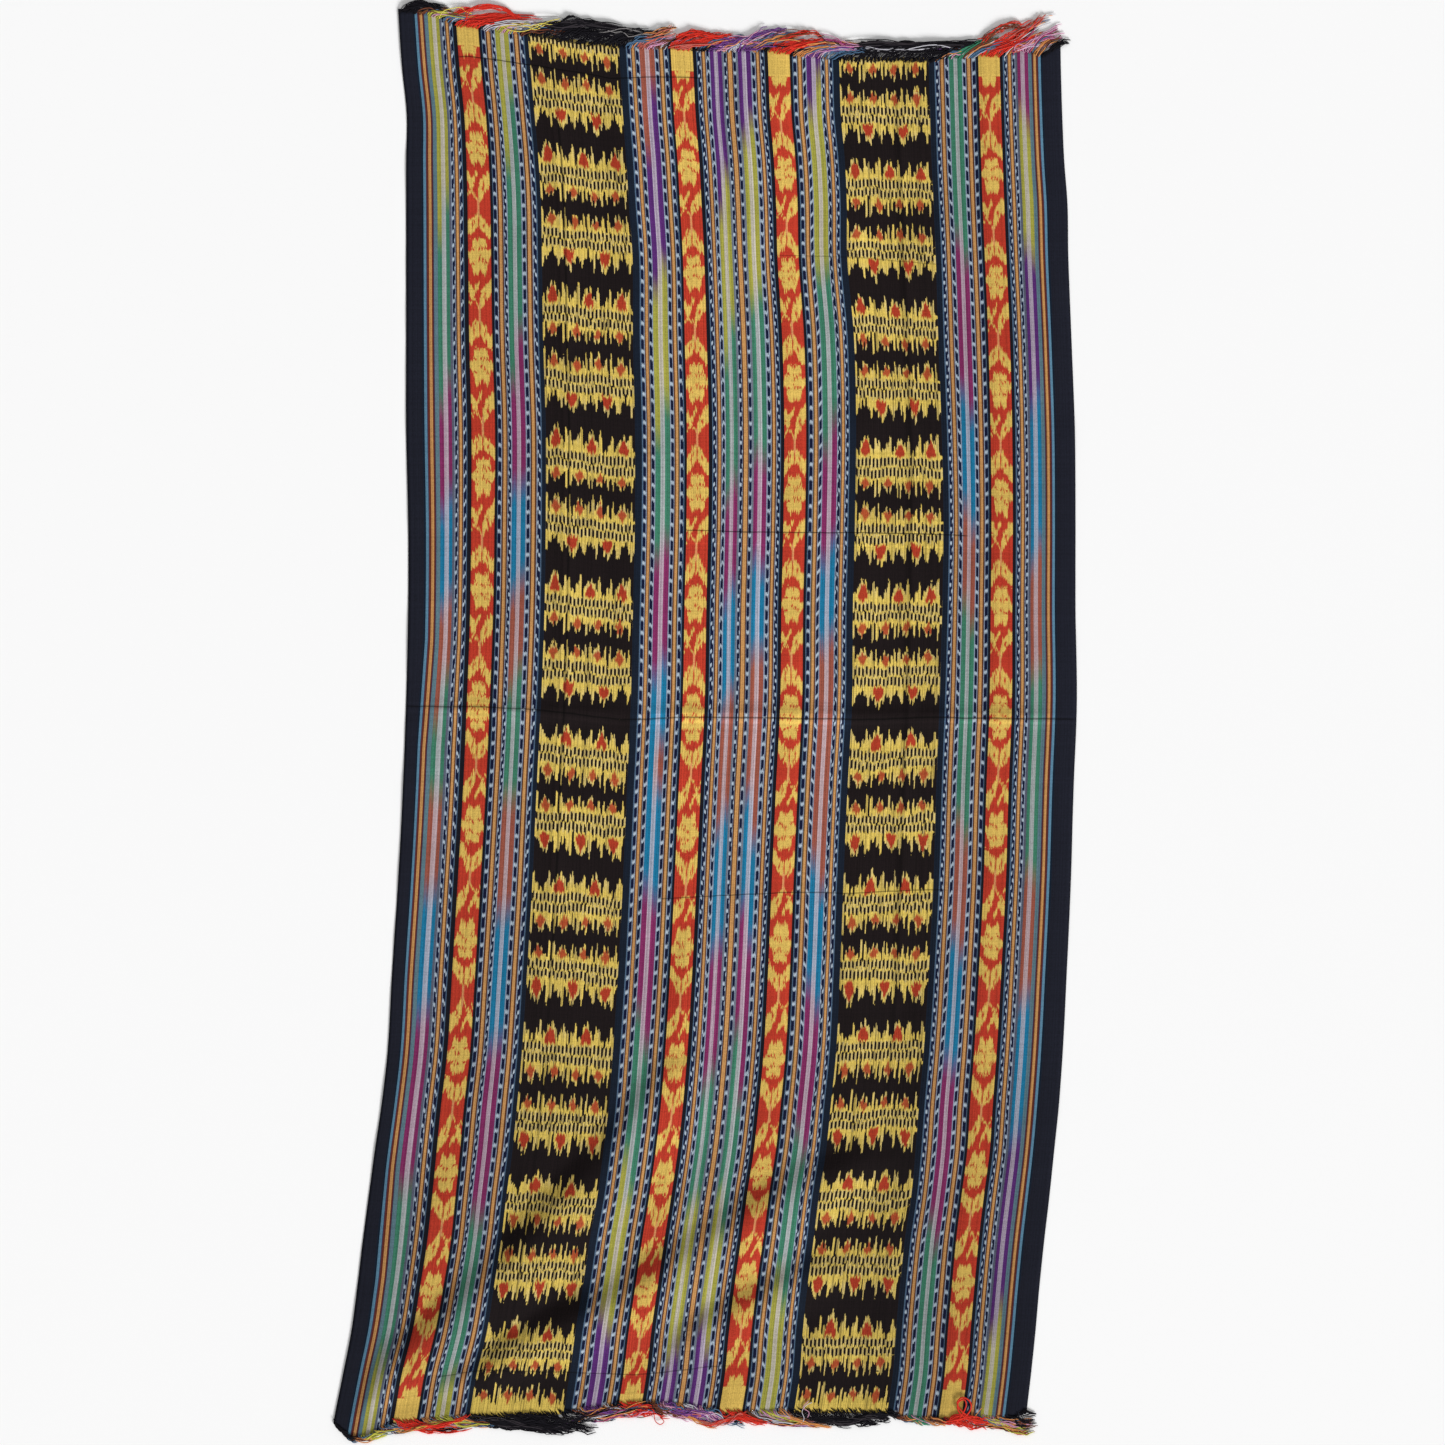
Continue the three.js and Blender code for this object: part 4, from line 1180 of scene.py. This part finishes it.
# A few long loose yarns that lie over the ends: colour, radius, and points as photo pixels.
LOOSE_YARNS = (
    ("red", 1.5, ((975, 1423), (968, 1416), (960, 1409), (957, 1402), (962, 1397), (969, 1400),
                  (971, 1407), (967, 1414), (960, 1419), (952, 1420))),
    ("red", 1.4, ((956, 1422), (962, 1414), (966, 1405), (964, 1399), (958, 1402), (958, 1410),
                  (965, 1417), (975, 1421), (984, 1423))),
    ("orange", 0.7, ((972, 1420), (977, 1413), (982, 1407))),
    ("white", 0.7, ((812, 1402), (806, 1405), (802, 1411), (804, 1418), (800, 1424), (790, 1426))),
    ("pink", 0.7, ((806, 1420), (809, 1412), (803, 1407), (809, 1400))),
    ("black", 0.7, ((475, 1421), (486, 1419), (500, 1424), (520, 1423))),
    ("gold", 0.8, ((500, 24), (508, 30), (522, 32), (535, 28), (548, 22), (560, 19))),
    ("gold", 0.8, ((439, 19), (443, 12), (452, 9), (461, 8), (466, 12), (472, 14))),
    ("grey_yarn", 0.5, ((515, 16), (535, 17), (556, 17), (566, 20))),
    ("red", 0.9, ((470, 22), (466, 14), (474, 9), (486, 7), (498, 7), (508, 10), (515, 15),
                  (521, 17))),
    ("red", 0.9, ((474, 24), (484, 23), (496, 21), (508, 18), (520, 17))),
    ("red", 0.9, ((465, 22), (470, 12), (480, 7), (490, 5), (500, 8), (508, 13), (514, 17))),
    ("brown", 0.7, ((770, 50), (771, 40), (778, 33), (788, 30), (800, 31), (812, 35))),
    ("pink", 0.8, ((820, 34), (830, 36), (842, 41), (850, 44), (862, 46))),
    ("black", 0.6, ((845, 41), (862, 40), (880, 40), (892, 41), (905, 44))),
    ("red", 0.9, ((976, 50), (984, 40), (993, 31), (1003, 25), (1014, 23), (1024, 25))),
    ("brown", 0.8, ((980, 46), (988, 36), (998, 28), (1010, 28), (1022, 29), (1031, 26))),
    ("salmon", 0.9, ((1015, 44), (1024, 36), (1031, 28), (1038, 22), (1045, 15))),
    ("red", 0.9, ((1006, 42), (1018, 38), (1028, 32), (1034, 24), (1040, 22))),
    ("magenta", 0.9, ((1012, 52), (1018, 44), (1026, 40), (1034, 30), (1036, 22))),
    ("black", 0.8, ((403, 10), (408, 4), (416, 1), (424, 1), (428, 6), (436, 9), (446, 11))),
    ("black", 0.8, ((400, 12), (404, 6), (412, 3), (420, 5), (428, 8), (434, 10))),
    ("black", 0.6, ((560, 22), (568, 17), (575, 17), (582, 19))),
    ("purple", 0.8, ((731, 46), (738, 40), (748, 38), (757, 34), (762, 28), (767, 27))),
    ("pink", 0.8, ((726, 38), (736, 36), (746, 37), (756, 33), (763, 33))),
    ("orange", 0.7, ((620, 1412), (628, 1407), (636, 1403), (646, 1401))),
    ("blue", 0.7, ((612, 1414), (622, 1410), (634, 1407), (644, 1404))),
    ("red", 0.8, ((651, 1406), (654, 1412), (655, 1420), (660, 1424), (664, 1421), (660, 1417))),
)

# Colours of the yarns, and which of them leave the cloth within each distance from the middle.
FRINGE_COLORS = {
    "black": (24, 22, 28), "red": (232, 58, 44), "blue": (84, 118, 152), "brown": (122, 70, 50),
    "orange": (232, 154, 90), "white": (216, 214, 222), "lime": (206, 204, 84),
    "green": (66, 140, 108), "magenta": (176, 66, 122), "purple": (124, 72, 148),
    "pink": (222, 160, 192), "salmon": (214, 112, 100), "gold": (242, 224, 104),
    # The lightened black is painted highlight among the black yarns.
    "grey_yarn": (150, 146, 146), "soot": (62, 57, 62),
}
LINES = "orange brown blue white"
DYED = "dye dye pink"
FRINGE_STRIPES = (
    (10, LINES), (32, DYED), (50, LINES), (57, "black"), (90.3, "red"), (94, "black"), (112, LINES),
    (136, DYED), (155, LINES), (302, "black"), (323, LINES), (345, DYED), (364, LINES),
    (369.5, "black"), (407.4, "red"), (411, "black"), (431, LINES), (452, DYED),
    (470, "blue orange brown"), (500, "black"),
)
# The dye at each end of the eight space-dyed lines, from the left.
UPPER_DYES = ("lime", "lime", "salmon", "purple", "purple", "purple", "green", "magenta")
LOWER_DYES = ("lime", "lime", "purple", "purple", "purple", "lime", "green", "lime")


def yarn_color(place, dyes, random):
    names = next(names for edge, names in FRINGE_STRIPES if abs(place) <= edge).split()
    name = names[random.integers(len(names))]
    if name == "dye":
        name = dyes[int(np.searchsorted(DYE_EDGES, place))]
    return name


def yarn_line(place, upper, reach, sweep, curl, bunch, random):
    """Points of a yarn from its root inside the cloth: floor x, down and height."""
    outward = -1 if upper else 1
    stretch = bunch.uniform(*BUNCH_LENGTH)
    length = math.hypot(reach, sweep) * stretch * random.uniform(*OWN_LENGTH) + MORE_LENGTH
    step = length / (YARN_STEPS - 1)
    lean = math.atan2(reach, sweep) * (bunch.uniform(*BUNCH_LEAN) + random.uniform(*OWN_LEAN))
    heading = math.radians(bunch.uniform(*BUNCH_HEADING) + random.uniform(*OWN_HEADING))
    waves = []
    for draw, curls, lengths in (bunch, *BUNCH_WAVE), (bunch, *BUNCH_WAVE), (random, *OWN_WAVE):
        waves.append((draw.uniform(*curls) * curl, draw.uniform(*lengths), draw.uniform(0, TURN)))
    limit = reach * bunch.uniform(*BUNCH_REACH) + MORE_REACH
    side, out = 0.0, -random.uniform(*ROOT_INSIDE)
    layer = 0.5 * bunch.uniform(*YARN_LAYERS) + 0.5 * random.uniform(*YARN_LAYERS)
    lowest = -6.0 if curl > 0.75 and layer > 0.6 else -1.0
    points = []
    for i in range(YARN_STEPS):
        part = i / (YARN_STEPS - 1)
        along = i * step
        arch = math.sin(math.pi * min(part * 1.1 + 0.02, 1)) ** 0.7
        height = ROOT_HEIGHT + YARN_ARCH * layer * arch
        points.append((side, outward * out, height))
        turn = sum(size * math.sin(along / wave * TURN + phase) for size, wave, phase in waves)
        aim = lean * (1 - part * 0.8) + turn
        if out > limit:
            aim = min(aim, -0.3)
        if out < lowest and part > 0.3:
            aim = max(aim, 0.4)
        heading += (aim - heading) * STEERING
        side += math.cos(heading) * step
        out += math.sin(heading) * step
    end = 1 if upper else 2
    base_x = float(floor_x(np.array([place]), np.array([end_down(place, end)]))[0])
    base_down = float(end_down(place, end))
    beside = float(end_down(min(place + SLOPE_SPAN, HALF_WIDTH), end))
    slope = (beside - base_down) / SLOPE_SPAN * SLOPE_SHARE
    return [(base_x + s, base_down + o + slope * s, h) for s, o, h in points]


def tube(points, radius, first):
    """Corners and faces of a thin closed tube round a line."""
    line = np.array(points)
    ahead = np.gradient(line, axis=0)
    ahead /= np.linalg.norm(ahead, axis=1)[:, None]
    sideways = np.cross(ahead, (0.0, 0.0, 1.0))
    sideways /= np.maximum(np.linalg.norm(sideways, axis=1)[:, None], 1e-6)
    upward = np.cross(sideways, ahead)
    corners = []
    for i in range(len(line)):
        size = radius * (YARN_TIP if i == len(line) - 1 else 1.0)
        for k in range(YARN_SIDES):
            angle = (k + 0.5) / YARN_SIDES * 2 * math.pi
            spoke = math.cos(angle) * sideways[i] + math.sin(angle) * upward[i]
            corners.append(line[i] + size * spoke)
    faces = []
    for i in range(len(line) - 1):
        for k in range(YARN_SIDES):
            a = first + i * YARN_SIDES + k
            b = first + i * YARN_SIDES + (k + 1) % YARN_SIDES
            faces.append((a, b, b + YARN_SIDES, a + YARN_SIDES))
    faces.append(tuple(first + k for k in reversed(range(YARN_SIDES))))
    last = first + (len(line) - 1) * YARN_SIDES
    faces.append(tuple(last + k for k in range(YARN_SIDES)))
    return corners, faces


def mottled_material(name, dark, light, places, scale):
    """Dull material whose colour varies between two tones."""
    material, tree, shader = node_material(name, 0.9)
    noise = tree.nodes.new("ShaderNodeTexNoise")
    noise.inputs["Scale"].default_value = scale
    ramp = tree.nodes.new("ShaderNodeValToRGB")
    for element, place, color in zip(ramp.color_ramp.elements, places, (dark, light)):
        element.position = place
        element.color = color
    tree.links.new(noise.outputs["Fac"], ramp.inputs[0])
    tree.links.new(ramp.outputs[0], shader.inputs["Base Color"])
    return material


def yarn_materials():
    materials = {}
    for name, color in FRINGE_COLORS.items():
        tones = linear([part * YARN_DARK for part in color]), linear(color)
        material = mottled_material("yarn_" + name, *tones, places=(0.3, 0.7), scale=400.0)
        shader = material.node_tree.nodes["Principled BSDF"]
        shader.inputs["Specular IOR Level"].default_value = COTTON_SHINE
        materials[name] = material
    return materials


def photo_line(pixels, share):
    """Floor x and y along a line given as photo pixels, at shares of its length."""
    knots = np.linspace(0, 1, len(pixels))
    x_line = smooth_lookup(share, knots, [(p[0] - PHOTO_MIDDLE_X) * PX + SHIFT_X for p in pixels])
    y_line = smooth_lookup(share, knots, [SHIFT_Y - (p[1] - PHOTO_TOP_Y) * PX for p in pixels])
    return x_line, y_line


class Yarns:
    """Tubes gathered into one mesh, each with the material of its colour."""

    def __init__(self, materials):
        self.materials = materials
        self.corners, self.faces, self.slots = [], [], []

    def add(self, line, radius, color):
        corners, faces = tube(line, radius, len(self.corners))
        self.corners.extend(tuple(corner * MM) for corner in corners)
        self.faces.extend(faces)
        self.slots.extend([list(self.materials).index(color)] * len(faces))

    def piece(self, name):
        piece = make_mesh(name, self.corners, self.faces)
        for material in self.materials.values():
            piece.data.materials.append(material)
        piece.data.polygons.foreach_set("material_index", self.slots)
        return piece


def add_cut_ends(yarns, lay, dyes, upper, seed, random):
    """The yarns of the whole end, which turn and curl bunch by bunch."""
    for i in range(int(2 * HALF_WIDTH / YARN_PITCH)):
        place = -HALF_WIDTH + (i + 0.5) * YARN_PITCH + random.uniform(-0.5, 0.5)
        bunch = np.random.default_rng(seed * 1000 + int((place + HALF_WIDTH) / BUNCH))
        bunch_color = yarn_color(place, dyes, bunch)
        color = bunch_color if random.uniform(0, 1) < BUNCH_SHARE else yarn_color(place, dyes, random)
        reach, sweep, curl = (np.interp(place, table(lay, 0), table(lay, k)) for k in (1, 2, 3))
        line = yarn_line(place, upper, reach, sweep, curl, bunch, random)
        points = [(px + SHIFT_X, SHIFT_Y - py, pz) for px, py, pz in line]
        yarns.add(np.array(points), random.uniform(*YARN_RADII), color)


def add_loose_yarns(yarns, upper):
    for color, radius, pixels in LOOSE_YARNS:
        if at_upper_end(pixels) == upper:
            x_line, y_line = photo_line(pixels, np.linspace(0, 1, 4 * len(pixels)))
            height = YARN_BED + radius + 1.4 * np.sin(np.linspace(0.1, math.pi, len(x_line)))
            yarns.add(np.stack([x_line, y_line, height], axis=1), radius, color)


def add_tangle(yarns, colors, thick, amount, pixels, random):
    for _ in range(amount):
        start, stop = random.uniform(*TANGLE_START), random.uniform(*TANGLE_STOP)
        share = np.linspace(start, stop, YARN_STEPS)
        x_line, y_line = photo_line(pixels, share)
        reach = thick * PX * random.uniform(*TANGLE_REACH)
        for axis in (x_line, y_line):
            for size in TANGLE_WAVES:
                wave = random.uniform(*TANGLE_LENGTHS) / size
                axis += reach * size * np.sin(share * wave * TURN + random.uniform(0, TURN))
        arch = np.sin(np.linspace(0.2, math.pi - 0.2, YARN_STEPS))
        height = YARN_BED + YARN_ARCH * random.uniform(0, 1) * arch
        color = colors[random.integers(len(colors))]
        line = np.stack([x_line, y_line, height], axis=1)
        yarns.add(line, random.uniform(*TANGLE_RADII), color)


def at_upper_end(pixels):
    return pixels[0][1] < PHOTO_HALFWAY


def fringe_piece(name, lay, dyes, upper, materials, seed):
    random = np.random.default_rng(seed)
    yarns = Yarns(materials)
    add_cut_ends(yarns, lay, dyes, upper, seed, random)
    add_loose_yarns(yarns, upper)
    for colors, thick, amount, pixels in TANGLES:
        if at_upper_end(pixels) == upper:
            add_tangle(yarns, colors.split(), thick, amount, pixels, random)
    return yarns.piece(name)


yarn_colors = yarn_materials()
upper_yarns = fringe_piece("yarns_top", UPPER_YARNS, UPPER_DYES, True, yarn_colors, seed=11)
lower_yarns = fringe_piece("yarns_bottom", LOWER_YARNS, LOWER_DYES, False, yarn_colors, seed=12)
for piece, node in ((upper_yarns, "fringe_top"), (lower_yarns, "fringe_bottom")):
    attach(piece, "root")
    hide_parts(node)


FLOOR_HALF = 7.0
FLOOR_TONE = 0.93
floor_corners = [(x * FLOOR_HALF, y * FLOOR_HALF, 0) for x, y in ((-1, -1), (1, -1), (1, 1), (-1, 1))]
floor = make_mesh("floor", floor_corners, [(0, 1, 2, 3)])
floor_tones = [(tone, tone, tone, 1) for tone in (FLOOR_TONE * 0.985, FLOOR_TONE)]
floor.data.materials.append(mottled_material("pale_floor", *floor_tones, places=(0, 1), scale=6.0))
floor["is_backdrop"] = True

# Camera straight above, framed as the photograph: 1445 pixels of 1.5 mm.
FRAME_PIXELS = 1445
MIDDLE_PIXEL = FRAME_PIXELS / 2
CAMERA_HEIGHT = 7.0
SENSOR = 36.0
CLIP_END = 50

camera_data = bpy.data.cameras.new("camera")
camera_data.sensor_width = SENSOR
camera_data.lens = SENSOR * CAMERA_HEIGHT / (FRAME_PIXELS * PX * MM)
camera_data.clip_end = CLIP_END
camera = add_object("camera", camera_data)
camera.location = (
    ((MIDDLE_PIXEL - PHOTO_MIDDLE_X) * PX + SHIFT_X) * MM,
    (SHIFT_Y - (MIDDLE_PIXEL - PHOTO_TOP_Y) * PX) * MM,
    CAMERA_HEIGHT,
)
bpy.context.scene.camera = camera

WORLD_LIGHT = 0.385
world = bpy.data.worlds.new("studio")
world.use_nodes = True
world.node_tree.nodes["Background"].inputs[0].default_value = (1, 1, 1, 1)
world.node_tree.nodes["Background"].inputs[1].default_value = WORLD_LIGHT
bpy.context.scene.world = world


def sun(name, strength, spread, turn, tilt):
    """Light from a direction, turned clockwise from the upper end and tilted from straight above."""
    data = bpy.data.lights.new(name, "SUN")
    data.energy = strength
    data.angle = math.radians(spread)
    light = add_object(name, data)
    light.rotation_euler = (math.radians(tilt), 0, -math.radians(turn + 180))
    light.location = (0, 0, 3)


sun("key", strength=3.6, spread=22, turn=145, tilt=62)
sun("fill", strength=0.4, spread=40, turn=320, tilt=35)

bpy.context.scene.view_settings.view_transform = "Standard"

as_lists = [[list(map(float, corner)) for corner in box] for box in (cad_box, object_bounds())]
